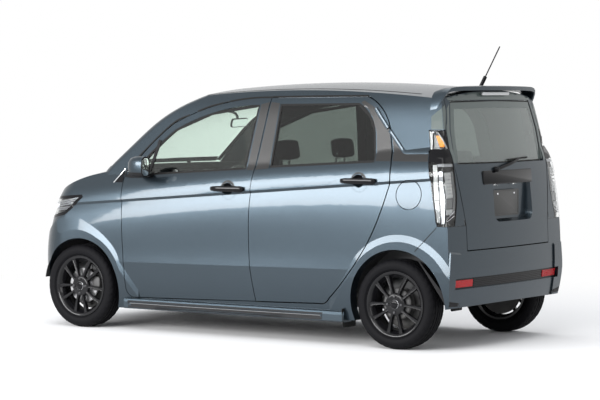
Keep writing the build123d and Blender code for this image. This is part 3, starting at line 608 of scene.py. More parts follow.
class WAGON_OT_finishes(bpy.types.Operator):
    """Build every finish from the panel's colours"""
    bl_idname = "wagon.finishes"
    bl_label = "Build finishes"

    def execute(self, context):
        build_groups()
        paint = context.scene.wagon_paint
        panes = context.scene.wagon_glass
        cabin = context.scene.wagon_cabin
        finish("Body Paint", tuple(paint.body_colour), 0.31, 0.85, "Metal Flake", 1800, 1.5,
               tone=0.30 * paint.flake, spread=0.05, bump=0.04, depth=0.0002,
               Coat_Weight=0.35, Coat_Roughness=0.05)
        finish("Pillar Film", tuple(paint.film_colour), 0.30, scale=700, bump=0.06, Specular_IOR_Level=0.45)
        finish("Gloss Black", (0.004, 0.004, 0.005), 0.10, scale=120, cloud=3, spread=0.03, bump=0.02,
               Specular_IOR_Level=0.18)
        finish("Satin Black", (0.008, 0.008, 0.009), 0.48, scale=900, bump=0.25, Specular_IOR_Level=0.15)
        finish("Rubber Seal", (0.006, 0.006, 0.006), 0.62, scale=500, bump=0.2, Specular_IOR_Level=0.2)
        finish("Tyre Rubber", (0.004, 0.004, 0.005), 0.62, scale=420, bump=0.3, dust=0.01,
               Specular_IOR_Level=0.08)
        finish("Rim Lacquer", tuple(context.scene.wagon_wheels.rim_colour), 0.12, 0.0, "Metal Flake", 1500,
               spread=0.04, bump=0.02, Specular_IOR_Level=0.28)
        finish("Machined Alloy", (0.62, 0.63, 0.65), 0.26, 1.0, "Brushed", 120, spread=0.08, bump=0.08)
        finish("Chrome", (0.80, 0.81, 0.83), 0.08, 1.0, "Brushed", 60, spread=0.03, bump=0.01)
        finish("Reflector", (0.72, 0.73, 0.75), 0.16, 1.0, "Brushed", 50, spread=0.05, bump=0.05)
        finish("Lamp Silver", (0.34, 0.35, 0.37), 0.30, 0.7, scale=160, spread=0.08, bump=0.15)
        finish("Lamp White", (0.50, 0.51, 0.51), 0.32, scale=200, tone=0.06, bump=0.2)
        finish("Lamp Grey", (0.16, 0.165, 0.17), 0.30, 0.5, scale=160, spread=0.08, bump=0.15)
        finish("Lamp Dark", (0.012, 0.012, 0.013), 0.35, scale=160, bump=0.1, Specular_IOR_Level=0.3)
        finish("Mirror Glass", (0.86, 0.88, 0.88), 0.02, 1.0, scale=40, tone=0.03, spread=0.01, bump=0)
        finish("Bare Steel", (0.20, 0.20, 0.21), 0.42, 0.85, "Brushed", 60, spread=0.1, bump=0.1, dust=0.5)
        finish("Dark Steel", (0.10, 0.10, 0.105), 0.3, 0.9, "Brushed", 60, spread=0.1, bump=0.1)
        finish("Cast Metal", (0.07, 0.07, 0.072), 0.6, 0.6, scale=240, spread=0.1, bump=0.5, dust=0.5)
        finish("Brake Disc", (0.35, 0.35, 0.36), 0.34, 1.0, "Brushed", 140, spread=0.1, bump=0.1)
        finish("Underbody Seal", (0.030, 0.031, 0.033), 0.68, scale=160, bump=0.6, depth=0.001, dust=0.5)
        finish("Cabin Cloth", tuple(cabin.fabric_colour), 0.88, group="Woven Cloth", scale=150, tone=0.35,
               bump=0.5, depth=0.0006, Sheen_Weight=0.35, Sheen_Roughness=0.5)
        finish("Headlining", tuple(cabin.lining_colour), 0.92, group="Woven Cloth", scale=420, tone=0.08,
               bump=0.25)
        finish("Cabin Plastic", (0.036, 0.036, 0.038), 0.55, scale=520, bump=0.35)
        finish("Cabin Trim", (0.075, 0.074, 0.074), 0.60, scale=480, bump=0.3)
        finish("Carpet", (0.030, 0.030, 0.031), 0.95, group="Woven Cloth", scale=500, tone=0.3, bump=0.8,
               depth=0.001)
        finish("Stitched Leather", (0.020, 0.020, 0.021), 0.45, scale=340, bump=0.4)
        finish("Screen", (0.006, 0.007, 0.009), 0.07, scale=20, tone=0.1, bump=0, Coat_Weight=1.0)
        finish("Plate Metal", (0.045, 0.045, 0.044), 0.38, 0.35, "Brushed", 100, spread=0.06, bump=0.08)
        finish("Glass Edge", (0.085, 0.105, 0.10), 0.12, scale=40, cloud=1.5, tone=0.1, spread=0.03, bump=0,
               Specular_IOR_Level=0.5)
        # The real black of the rear bumper's insert, and painted shade in the door handles' cups
        finish("Insert Black And Cup Shade", (0.004, 0.004, 0.005), 0.35, scale=500, bump=0.1, Specular_IOR_Level=0.2)
        glass("Clear Glass", tuple(panes.clear_tint))
        glass("Privacy Glass", tuple(panes.privacy_tint))
        glass("Tailgate Glass", tuple(panes.tailgate_tint), 0.84)
        glass("Lamp Lens", (0.95, 0.96, 0.96), ior=1.25)
        finish("Red Reflex", (0.36, 0.008, 0.012), 0.2, scale=900, bump=0.5, depth=0.0006,
               Specular_IOR_Level=0.2)
        finish("Amber Reflex", (0.78, 0.28, 0.03), 0.2, scale=700, bump=0.5, depth=0.0008)
        finish("Lamp Block", (0.46, 0.47, 0.48), 0.28, 0.35, scale=150, tone=0.35, bump=0.9, depth=0.002)
        return {"FINISHED"}


PAINTED = ("hood", "roof_panel", "front_fenders", "tailgate", "front_bumper", "rear_bumper",
           "fuel_lid", "side_frame_left", "side_frame_right", "front_door_left",
           "front_door_right", "rear_door_left", "rear_door_right")
# columns: CAD node, finish
CARRIED = (
    ("cowl_panel", "Satin Black"), ("front_grille", "Gloss Black"), ("antenna", "Satin Black"),
    ("floor_pan", "Underbody Seal"), ("engine", "Cast Metal"), ("front_subframe", "Cast Metal"),
    ("knuckle_left", "Cast Metal"), ("knuckle_right", "Cast Metal"), ("rear_axle", "Cast Metal"),
    ("exhaust", "Bare Steel"), ("fuel_tank", "Underbody Seal"), ("dashboard", "Cabin Plastic"),
    ("steering_wheel", "Stitched Leather"),
)


class WAGON_OT_panels(bpy.types.Operator):
    """Paint the body panels and finish the carried metal and plastic"""
    bl_idname = "wagon.panels"
    bl_label = "Finish panels"

    def execute(self, context):
        for node in PAINTED:
            dress(node, "Body Paint")
        for node, finish_name in CARRIED:
            dress(node, finish_name)
        return {"FINISHED"}


# Corners of the side windows, in side view
FRONT_WINDOW = [(-842, 1036), (-700, 1198), (-520, 1345), (-225, 1456), (157, 1510), (118, 1099)]
REAR_WINDOW = [(309, 1114), (327, 1516), (928, 1524), (1021, 1452), (1072, 1347), (1098, 1162)]
SEAL = [(-11, 0), (-10, 2.4), (0, 3.6), (10, 2.4), (11, 0), (9, -3), (-9, -3)]
DIVISION = [(-13, 0), (-12, 3), (12, 3), (13, 0), (12, -4), (-12, -4)]
DRIP = ridge(6, 5, 2.2)
# The line between the doors' tops and the roof sides, in side view
DRIP_LINE = [(-903, 1040), (-872, 1090), (-735, 1232), (-548, 1391), (-400, 1450), (-236, 1506), (0, 1542),
             (242, 1563), (600, 1570), (985, 1573)]
SLIM_SEAL = [(-4, 0), (-3, 1.8), (0, 2.4), (3, 1.8), (4, 0), (3, -2.5), (-3, -2.5)]


class WAGON_OT_glazing(bpy.types.Operator):
    """Tint the glass and add its black borders, seals and the front windows' division bars"""
    bl_idname = "wagon.glazing"
    bl_label = "Glaze windows"

    def execute(self, context):
        for node, finish_name in (("windshield", "Clear Glass"), ("tailgate_glass", "Tailgate Glass")):
            dress(node, finish_name)
        for side, sign in SIDES:
            dress(f"front_door_glass_{side}", "Clear Glass")
            dress(f"rear_door_glass_{side}", "Privacy Glass")
            for end, edge in (("front", FRONT_WINDOW), ("rear", REAR_WINDOW)):
                door = f"{end}_door_{side}"
                panes = (door, f"{end}_door_glass_{side}")
                piece(bead(panes, side, edge, SEAL, 0.5, 90, closed=True), f"{end}_window_seal_{side}",
                      "Rubber Seal", door)
                if end == "front":
                    piece(bead(panes, side, [(-640, 1276), (-668, 1160), (-694, 1046)], DIVISION, 1.0, 12),
                          f"window_division_{side}", "Satin Black", door)
            piece(bead(f"side_frame_{side}", side, DRIP_LINE, DRIP, 0.2, 120, smooth=True),
                  f"drip_moulding_{side}", "Rubber Seal")
        screen = ("windshield", "roof_panel", "cowl_panel")
        for name, first, second in (
                ("foot", level(590, 1104), level(575, 1136, 1132)),
                ("head", level(520, 1530, 1536), level(506, 1566, 1570))):
            piece(cover(screen, "front", first, second, 40, 4, 0.5, 0.8), f"windshield_border_{name}",
                  "Gloss Black")
        for side, sign in SIDES:
            inner = flip(sign, [(586, 1112), (548, 1320), (503, 1564)])
            outer = flip(sign, [(612, 1104), (572, 1320), (516, 1568)])
            piece(cover(screen, "front", inner, outer, 30, 3, 0.6, 0.9), f"windshield_border_{side}",
                  "Gloss Black")
        gate = ("tailgate", "tailgate_glass")
        edge = [(-546, 1156), (-551, 1176), (-545, 1362), (-500, 1535), (0, 1543), (500, 1535), (545, 1362),
                (551, 1176), (546, 1156), (0, 1153)]
        piece(bead(gate, "rear", edge, SLIM_SEAL, 0.5, 120, closed=True), "rear_glass_seal", "Rubber Seal",
              "tailgate")
        borders, corners = [], []
        for side, sign in SIDES:
            for first, second, lift, depth in (([(548, 1160), (548, 1363), (502, 1535)],
                                                [(585, 1160), (585, 1363), (560, 1480)], 0.6, 1.4),
                                               ([(512, 1162), (505, 1363), (466, 1500)],
                                                [(546, 1162), (543, 1363), (498, 1533)], 0.4, 0.8)):
                borders.append(cover(gate, "rear", flip(sign, first), flip(sign, second), 40, 5, lift,
                                     depth))
            corners.append(cover(f"side_frame_{side}", f"{side} corner",
                                 [(57, 1367), (47, 1367), (37.6, 1367)],
                                 [(57, 1444), (46, 1482), (31, 1532)], 24, 14, 0.8, 1.6))
        borders.append(cover(gate, "rear", level(512, 1492, 1497), level(500, 1538, 1541), 50, 5, 0.4, 0.8))
        borders.append(cover(gate, "rear", level(515, 1546, 1550), level(545, 1586, 1600), 50, 6, 0.8, 1.6))
        piece(borders, "rear_glass_border", "Glass Edge", "tailgate")
        piece(corners, "rear_corner_glass", "Glass Edge")
        return {"FINISHED"}


# Film covers on the door pillars and rear quarter. Lines are drawn in side view.
# columns: piece, CAD node, first line, second line, columns, rows
PILLAR_COVERS = (
    ("pillar_film_front", "front_door", [(128, 1094), (170, 1518)],
     [(186, 1092), (235, 1532)], 24, 4),
    ("pillar_film_middle", "rear_door", [(198, 1096), (248, 1532)],
     [(300, 1106), (318, 1524)], 24, 5),
    ("pillar_film_rear", "rear_door", [(1108, 1166), (1083, 1346), (1040, 1444), (944, 1531)],
     [(1220, 1168), (1172, 1366), (1082, 1484), (966, 1545)], 30, 6),
    ("quarter_film", "side_frame", [(1236, 1168), (1297, 1168), (1488, 1169)],
     [(1190, 1358), (1300, 1236), (1474, 1236)], 30, 8),
)


# Cross-sections of the raised edge beside the film and of the black strip under it, which is a painted
# shadow, for the left side
WEDGE = [(-2, -2), (-1, 9), (4, 9.5), (22, 2), (24, -2)]
SHADE = [(-9, -1), (-8, 2.5), (1, 2.5), (2, -1)]


class WAGON_OT_pillars(bpy.types.Operator):
    """Cover the door pillars and rear quarters with dark film, edge the rear quarter panel, and paint the
    shadow under that edge
    """
    bl_idname = "wagon.pillars"
    bl_label = "Cover pillars"

    def execute(self, context):
        for side, sign in SIDES:
            for name, node, first, second, columns, rows in PILLAR_COVERS:
                carrier = f"{node}_{side}"
                piece(cover(carrier, side, first, second, columns, rows, 0.9, 1.4), f"{name}_{side}",
                      "Pillar Film", "body" if node == "side_frame" else carrier)
            # The quarter shadow is a black strip: a painted shadow under the quarter panel's raised edge
            for name, node, line, profile, count, finish_name in (("quarter_edge", "side_frame",
                                                                   [(1182, 1366), (1297, 1237),
                                                                    (1320, 1231), (1478, 1234)], WEDGE, 50,
                                                                   "Body Paint"),
                                                                  ("quarter_shadow", "side_frame",
                                                                   [(1306, 1229), (1400, 1227),
                                                                    (1476, 1229)], SHADE, 30,
                                                                   "Gloss Black"),
                                                                  ("door_edge", "rear_door",
                                                                   [(1066, 1500), (1110, 1447),
                                                                    (1174, 1372)], WEDGE, 24,
                                                                   "Body Paint")):
                carrier = f"{node}_{side}"
                piece(bead(carrier, side, line, flip(-sign, profile), 0, count), f"{name}_{side}",
                      finish_name, "body" if node == "side_frame" else carrier)
        return {"FINISHED"}


# Door handles. columns: door, middle x, height, distance of the door's skin from the car's middle
HANDLES = (("front_door", -2, 969, 728), ("rear_door", 1003, 1041, 718))
# A handle's grip along its length. columns: along, half height, half depth, stand-off
HANDLE_STATIONS = ((-131, 7, 4, 12), (-124, 13, 8, 16), (-100, 17, 11, 19), (-50, 18.5, 12, 21),
                   (0, 18.5, 12, 21), (58, 19, 12, 20), (62, 21, 12.5, 20), (108, 20.5, 12, 18),
                   (124, 17, 9, 15), (131, 9, 4, 11))
CUP_RADIUS = 60


def bulge(part, power):
    """A sine or cosine pushed out, to turn an oval into a rounded square."""
    return math.copysign(abs(part) ** power, part)


def oval(half_width, half_height, steps=36, power=0.72):
    """A squarish oval about the middle."""
    turns = [math.tau * i / steps for i in range(steps)]
    return [(half_width * bulge(math.cos(turn), power), half_height * bulge(math.sin(turn), power))
            for turn in turns]


def handle_grip(middle, height, sign, skin_side):
    """A grip with rounded ends on two feet."""
    grip = loft([[point(middle + along, sign * (skin_side + off + out), height + up) for up,
                  out in oval(half, depth, 20, 0.7)] for along, half, depth, off in HANDLE_STATIONS])
    feet = [slab(44, 26, 8, 24, sideways(middle + end, sign * (skin_side - 6), height, sign))
            for end in (-98, 98)]
    return join(grip, *feet)


class WAGON_OT_handles(bpy.types.Operator):
    """Fit the black door handles over the bars in the doors, with painted shade in the upper halves of
    their cups
    """
    bl_idname = "wagon.handles"
    bl_label = "Fit door handles"

    def execute(self, context):
        for side, sign in SIDES:
            for door, middle, height, skin_side in HANDLES:
                node = f"{door}_{side}"
                soften(piece(handle_grip(middle, height, sign, skin_side), f"{door}_handle_{side}",
                             "Gloss Black", node, angle=50), 1.5)
                arc = [(math.cos(math.pi * s / 24), math.sin(math.pi * s / 24)) for s in range(25)]
                upper = [(middle - CUP_RADIUS * c, height - 4 + CUP_RADIUS * s) for c, s in arc]
                lower = [(middle - CUP_RADIUS * c, height - 6) for c, s in arc]
                # A black half-disc over the upper half of the handle's cup: painted shade where that half
                # of the recess lies in shade
                piece(cover(node, side, lower, upper, 26, 8, 1.0, 1.5), f"{door}_cup_{side}",
                      "Insert Black And Cup Shade", node)
                lower = [(middle - CUP_RADIUS * c, height - 8 - CUP_RADIUS * s) for c, s in arc]
                piece(bead(node, side, lower, ridge(2.5, 1, 1.2), 0, 40),
                      f"{door}_cup_edge_{side}", "Body Paint", node)
        return {"FINISHED"}


# A mirror's shell from its glass forwards. columns: x, middle out, middle height, half width, half height
MIRROR_STATIONS = ((-610, 815, 1103, 45, 66), (-618, 815, 1103, 47.5, 69), (-650, 815, 1104, 47.5, 69),
                   (-690, 814, 1104, 45, 66), (-722, 810, 1102, 38, 58), (-744, 805, 1099, 26, 42),
                   (-754, 801, 1096, 11, 20))
MIRROR_BASE = 1066


# A mirror's arm from the door outwards.
# columns: distance from the car's middle, middle x, middle height, half length, half height
MIRROR_ARM = ((684, -704, 1052, 60, 22), (725, -702, 1050, 56, 20), (768, -690, 1052, 54, 17),
              (800, -684, 1056, 52, 15))


def mirror_shell(sign):
    """The mirror's closed shell, rounded off towards the front."""
    return loft([[point(x, sign * (out + a), height + b) for a, b in oval(wide, tall)]
                 for x, out, height, wide, tall in MIRROR_STATIONS])


def mirror_arm(sign):
    """The mirror's black arm, lofted from the door out to the shell's foot."""
    return loft([[point(x + a, sign * out, z + b) for a, b in oval(half_x, half_z, 16, 1)]
                 for out, x, z, half_x, half_z in MIRROR_ARM])


class WAGON_OT_mirrors(bpy.types.Operator):
    """Build the mirrors: painted shells on black bases, with glass, rims and sails"""
    bl_idname = "wagon.mirrors"
    bl_label = "Build mirrors"

    def execute(self, context):
        for side, sign in SIDES:
            body = f"front_door_{side}"
            for name, finish_name, away in (("shell", "Body Paint", -1), ("base", "Satin Black", 1)):
                half = cut_away(mirror_shell(sign), 0, 0, MIRROR_BASE, (0, 0, away))
                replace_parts(piece(half, f"mirror_{name}_{side}", finish_name, body), f"mirror_{side}")
            place = facing(-610, sign * 815, 1103, (1, 0, 0))
            piece(plate(oval(40, 60), 1.5, place, 0.5), f"mirror_glass_{side}", "Mirror Glass", body)
            piece(flat_ring(oval(42, 63), place, ring_profile(4.5, 10, 0.7)), f"mirror_rim_{side}",
                  "Satin Black", body)
            arm = piece(mirror_arm(sign), f"mirror_foot_{side}", "Satin Black", body, angle=45)
            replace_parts(arm, f"mirror_{side}")
            sail = cover((body, f"front_door_glass_{side}"), side,
                         [(-893, 1026), (-850, 1022), (-640, 1028)],
                         [(-878, 1068), (-790, 1102), (-700, 1090)], 20, 8, 2.5, 5)
            piece(sail, f"mirror_sail_{side}", "Satin Black", body)
            nodes = ("front_fenders", f"side_frame_{side}")
            piece(cover(nodes, side, [(-978, 992), (-940, 990), (-906, 992)],
                        [(-950, 1026), (-925, 1058), (-909, 1072)], 12, 5, 1.2, 2), f"fender_corner_{side}",
                  "Gloss Black")
            piece(bead(nodes, side, [(-984, 988), (-952, 1030), (-910, 1082)], ring_profile(3.5, 8, 0.7),
                       1.0, 14), f"fender_corner_edge_{side}", "Chrome", "body")
        return {"FINISHED"}


# A tyre's section. columns: radius, distance from its middle plane
TYRE_SECTION = [(191.5, -57), (193, -60), (199, -62), (207, -64.5), (213, -70), (220, -77), (236, -81.5),
                (250, -80), (262, -75.5), (268, -72), (273, -67.5), (276.5, -62), (278.5, -56),
                (279.6, -49), (279.8, -44), (272.5, -43), (272.5, -36), (280.4, -35), (280.9, -24),
                (281.0, -16), (273.0, -15), (273.0, -7), (281.1, -6), (281.2, 0)]
# Radii of the sidewall's protector rib, of the shoulder and of the tread's ribs
PROTECTOR = (203, 208)
SHOULDER = 263
TREAD = 275
# Distances from a tyre's middle plane: where its shoulder blocks begin, and the ribs with fine cuts
BLOCK_EDGE = 44
CUT_RIBS = (15, 36)
TREAD_STEPS = 216


def wheels():
    """Each wheel's end and side, and its place: local X rearwards, local Z out from the car."""
    for end, x in (("front", FRONT_AXLE), ("rear", REAR_AXLE)):
        for side, sign in SIDES:
            yield end, side, sideways(x, sign * WHEEL_SIDE, AXLE_HEIGHT, sign)


class WAGON_OT_tyres(bpy.types.Operator):
    """Build the tyres, with grooves, shoulder blocks and a rim protector"""
    bl_idname = "wagon.tyres"
    bl_label = "Build tyres"

    def execute(self, context):
        depth = context.scene.wagon_wheels.groove / MM
        section = TYRE_SECTION + [(r, -w) for r, w in TYRE_SECTION[-2::-1]] + [TYRE_SECTION[0]]

        def blocks(step, radius, across):
            """Cuts slanted grooves into the shoulders and fine ones into the ribs."""
            if radius < SHOULDER:
                return radius + (0.6 if PROTECTOR[0] < radius < PROTECTOR[1] and step % 2 else 0)
            slant = step + int(abs(across) / 9)
            if abs(across) > BLOCK_EDGE:
                return radius - (depth * 0.75 if slant % 6 == 0 else 0)
            if radius > TREAD and CUT_RIBS[0] < abs(across) < CUT_RIBS[1]:
                return radius - (depth * 0.45 if slant % 4 == 0 else 0)
            return radius

        for end, side, place in wheels():
            tyre = piece(lathe(section, TREAD_STEPS, place, blocks), f"tyre_tread_{end}_{side}",
                         "Tyre Rubber", f"wheel_{end}_{side}", angle=28)
            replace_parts(tyre, f"tyre_{end}_{side}")
        return {"FINISHED"}


# An alloy rim's barrel and flanges. columns: radius, height above the wheel's middle plane
RIM_SECTION = [(197, -69), (197, -64), (190, -59), (190, -41), (172, -25), (172, 20), (190, 50), (190, 59),
               (198, 63), (206, 65.5), (208, 68), (206, 70.5), (201, 71), (192, 68), (186, 62), (181, 52),
               (166, 34), (164, 26), (164, -27), (182, -39), (182, -69), (197, -69)]
# A spoke along its length. columns: radius, distance from its pair's middle line, half width, top, bottom
SPOKE_STATIONS = ((34, 10, 13, 68, 44), (58, 17, 11.5, 70, 42), (84, 25, 10, 69, 40),
                  (116, 33, 11, 66.5, 37), (150, 40, 13, 63.5, 34), (176, 45, 15, 62, 31),
                  (189, 48, 17, 63, 30))
SPOKE_PAIRS = 5
# Angle of the first pair of spokes, in degrees
FIRST_PAIR = -20


def spoke(lean):
    """One spoke along +X, its top edges chamfered and its middle dished."""
    rings = []
    for reach, aside, half, top, bottom in SPOKE_STATIONS:
        edge = [(2 - half, bottom), (-half, top - 7), (3 - half, top - 1), (5.5 - half, top),
                (8 - half, top - 2.5)]
        rings.append([point(reach, lean * aside + across, height)
                      for across, height in edge + flip(-1, edge[::-1])])
    return loft(rings)


class WAGON_OT_rims(bpy.types.Operator):
    """Build the gloss alloy rims with five twin spokes"""
    bl_idname = "wagon.rims"
    bl_label = "Build rims"

    def execute(self, context):
        hub = [(27.5, 42), (27.5, 69), (29, 71), (58, 71), (64, 69.5), (69, 64), (71, 44), (27.5, 42)]
        for end, side, place in wheels():
            parts = [lathe(RIM_SECTION, 120), lathe(hub, 64)]
            for pair in range(SPOKE_PAIRS):
                turn = Matrix.Rotation(math.radians(FIRST_PAIR + 360 * pair / SPOKE_PAIRS), 4, "Z")
                for lean in (-1, 1):
                    parts.append(spoke(lean))
                    parts[-1].transform(turn)
            rim = join(*parts)
            rim.transform(place)
            thing = piece(rim, f"rim_spokes_{end}_{side}", "Rim Lacquer", f"wheel_{end}_{side}", angle=38)
            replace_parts(soften(thing, 1.2, 2, 38), f"rim_{end}_{side}")
        return {"FINISHED"}


# Radius that the wheel nuts stand at
BOLT_CIRCLE = 50
# Height of a wheel's hub face above its middle plane
HUB = 44.5
# A brake shield's section. columns: radius, height
SHIELD = [(40, -30), (120, -34), (150, -40), (158, -46), (158, -52), (40, -40), (40, -30)]
DISC = [(36, 16), (118, 16), (118, 28), (70, 28), (68, 44), (36, 44), (36, 16)]
DRUM = [(30, -12), (100, -12), (103, -8), (103, 2), (100, 6), (100, 36), (92, 43), (68, 44), (30, 44),
        (30, -12)]


class WAGON_OT_wheel_trim(bpy.types.Operator):
    """Fit brakes, wheel nuts, hub caps and valves"""
    bl_idname = "wagon.wheel_trim"
    bl_label = "Fit wheel trim"

    def execute(self, context):
        nut = [(0, 16), (5, 16), (8, 14), (9.5, 11), (9.5, -6), (0, -6)]
        cap = [(0, 6), (14, 5.5), (22, 4), (26, 1.5), (27, -1), (27, -10), (0, -10)]
        ring = [(26.6, 0), (27.6, 2.2), (29, 0.8), (29, -2), (26.6, -2), (26.6, 0)]
        valve = [(0, 26), (2.6, 26), (3.2, 22), (3.2, 8), (4.2, 6), (4.2, 0), (0, 0)]
        for end, side, middle in wheels():
            body = f"wheel_{end}_{side}"

            def moved(x, y, z):
                return middle @ Matrix.Translation(point(x, y, z))

            quarters = [math.tau * i / 4 for i in range(4)]
            nuts = [lathe(nut, 6, moved(BOLT_CIRCLE * math.cos(turn), BOLT_CIRCLE * math.sin(turn),
                                        HUB + 20)) for turn in quarters]
            soften(piece(nuts, f"wheel_nuts_{end}_{side}", "Dark Steel", body, angle=30), 0.8)
            face = moved(0, 0, HUB + 27)
            piece(lathe(cap, 40, face), f"hub_cap_{end}_{side}", "Gloss Black", body)
            piece(lathe(ring, 40, face), f"hub_ring_{end}_{side}", "Machined Alloy", body)
            piece(lathe(valve, 12, moved(168, 0, 46) @ Matrix.Rotation(-0.5, 4, "Y")),
                  f"valve_{end}_{side}", "Rubber Seal", body)
            still = f"knuckle_{side}" if end == "front" else "body"
            piece(lathe(SHIELD, 64, middle), f"brake_shield_{end}_{side}", "Underbody Seal", still)
            if end == "front":
                piece(lathe(DISC, 72, middle), f"brake_disc_{side}", "Brake Disc", body)
                piece(slab(60, 96, 20, 34, moved(112, 18, 2), 5), f"brake_caliper_{side}", "Cast Metal",
                      still, angle=50)
            else:
                piece(lathe(DRUM, 72, middle), f"brake_drum_{side}", "Cast Metal", body)
        return {"FINISHED"}


# Where a lamp's lens is looked at from, to tell its outside from its inside
LAMP_HUBS = {"headlamps": (-1150, 0), "tail_lamps": (1300, 0)}
LAMP_FACING = 0.45


def faces_of(node, keep):
    """A welded copy of those of a CAD node's faces that pass a test."""
    mesh = bmesh.new()
    mesh.from_mesh(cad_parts[node].data)
    bmesh.ops.remove_doubles(mesh, verts=mesh.verts, dist=2e-5)
    for face in mesh.faces[:]:
        if not keep(face):
            mesh.faces.remove(face)
    for corner in mesh.verts[:]:
        if not corner.link_faces:
            mesh.verts.remove(corner)
    return mesh


def lamp_faces(node, outside=True):
    """A welded copy of a lamp's outside, or of all the rest of it."""
    hub_x, hub_y = LAMP_HUBS[node]

    def keep(face):
        middle = face.calc_center_median()
        reach = Vector((middle.x - hub_x * MM, middle.y - hub_y * MM, 0)).normalized()
        return (face.normal.dot(reach) > LAMP_FACING) == outside
    return faces_of(node, keep)


def cut_away(mesh, x, y, z, away):
    """Removes what lies beyond a plane."""
    bmesh.ops.bisect_plane(mesh, geom=mesh.verts[:] + mesh.edges[:] + mesh.faces[:], dist=1e-6,
                           plane_co=point(x, y, z), plane_no=Vector(away), clear_outer=True)
    return mesh


def thicken(mesh, lift, depth):
    """Moves an open sheet out by lift and closes it into a plate of the given depth."""
    mesh.normal_update()
    corners = mesh.verts[:]
    faces = mesh.faces[:]
    rims = [edge for edge in mesh.edges if edge.is_boundary]
    normals = {corner: corner.normal.copy() for corner in corners}
    for corner in corners:
        corner.co += normals[corner] * lift * MM
    under = {corner: mesh.verts.new(corner.co - normals[corner] * depth * MM) for corner in corners}
    for edge in rims:
        a, b = edge.verts
        mesh.faces.new((a, b, under[b], under[a]))
    for face in faces:
        mesh.faces.new([under[corner] for corner in reversed(face.verts)])
    return mesh


# The tail lamps' edges round the rear corner. columns: height, front edge and inner edge in degrees
LOWER_LAMP = ((775, 52.6, 35.0), (950, 55.4, 29.8), (1160, 56.8, 32.2))
UPPER_LAMP = ((1246, 60.0, 35.2), (1358, 61.6, 47.6))
# Where the tailgate's edge comes. columns: height, degrees
LAMP_END = ((775, 16.6), (950, 23.6), (1160, 31.4))
UPPER_LAMP_END = ((1246, 34.6), (1358, 37.4))
# Bands inside the tail lamps.
# columns: name, finish, lamp, shares of its width from its front edge, low, high, lift
TAIL_BANDS = (
    ("guide", "Lamp White", LOWER_LAMP, 0.03, 0.19, 938, 1150, -3),
    ("guide_foot", "Lamp Grey", LOWER_LAMP, 0.03, 0.19, 800, 932, -3),
    ("reflector", "Lamp Silver", LOWER_LAMP, 0.23, 0.36, 792, 1112, -7),
    ("block", "Lamp Block", LOWER_LAMP, 0.46, 0.79, 947, 1105, -4),
    ("window", "Lamp Grey", LOWER_LAMP, 0.46, 0.80, 886, 943, -8),
    ("foot_block", "Lamp Block", LOWER_LAMP, 0.46, 0.80, 846, 880, -5),
    ("inner_strip", "Lamp Grey", LOWER_LAMP, 0.84, 0.96, 848, 1112, -6),
    ("cap", "Lamp Silver", LOWER_LAMP, 0.22, 0.98, 1140, 1156, -3),
    ("upper_band", "Lamp White", UPPER_LAMP, 0.03, 0.20, 1250, 1355, -4),
    ("upper_ribs", "Lamp Silver", UPPER_LAMP, 0.22, 0.56, 1250, 1352, -7),
    ("upper_amber", "Amber Reflex", UPPER_LAMP, 0.58, 0.86, 1262, 1330, -6),
    ("upper_edge", "Lamp White", UPPER_LAMP, 0.88, 0.99, 1250, 1352, -3),
)


def lamp_angle(lamp, share, height):
    """The angle at a share of a lamp's width at one height."""
    for low, high in zip(lamp, lamp[1:]):
        if height <= high[0] or high is lamp[-1]:
            rise = (height - low[0]) / (high[0] - low[0])
            ends = [low[i] + (high[i] - low[i]) * rise for i in (1, -1)]
            return ends[0] + (ends[1] - ends[0]) * share


def lamp_line(lamp, share, low, high, steps=9):
    """Points down a lamp at one share of its width."""
    heights = [low + (high - low) * i / (steps - 1) for i in range(steps)]
    return [(lamp_angle(lamp, share, z), z) for z in heights]


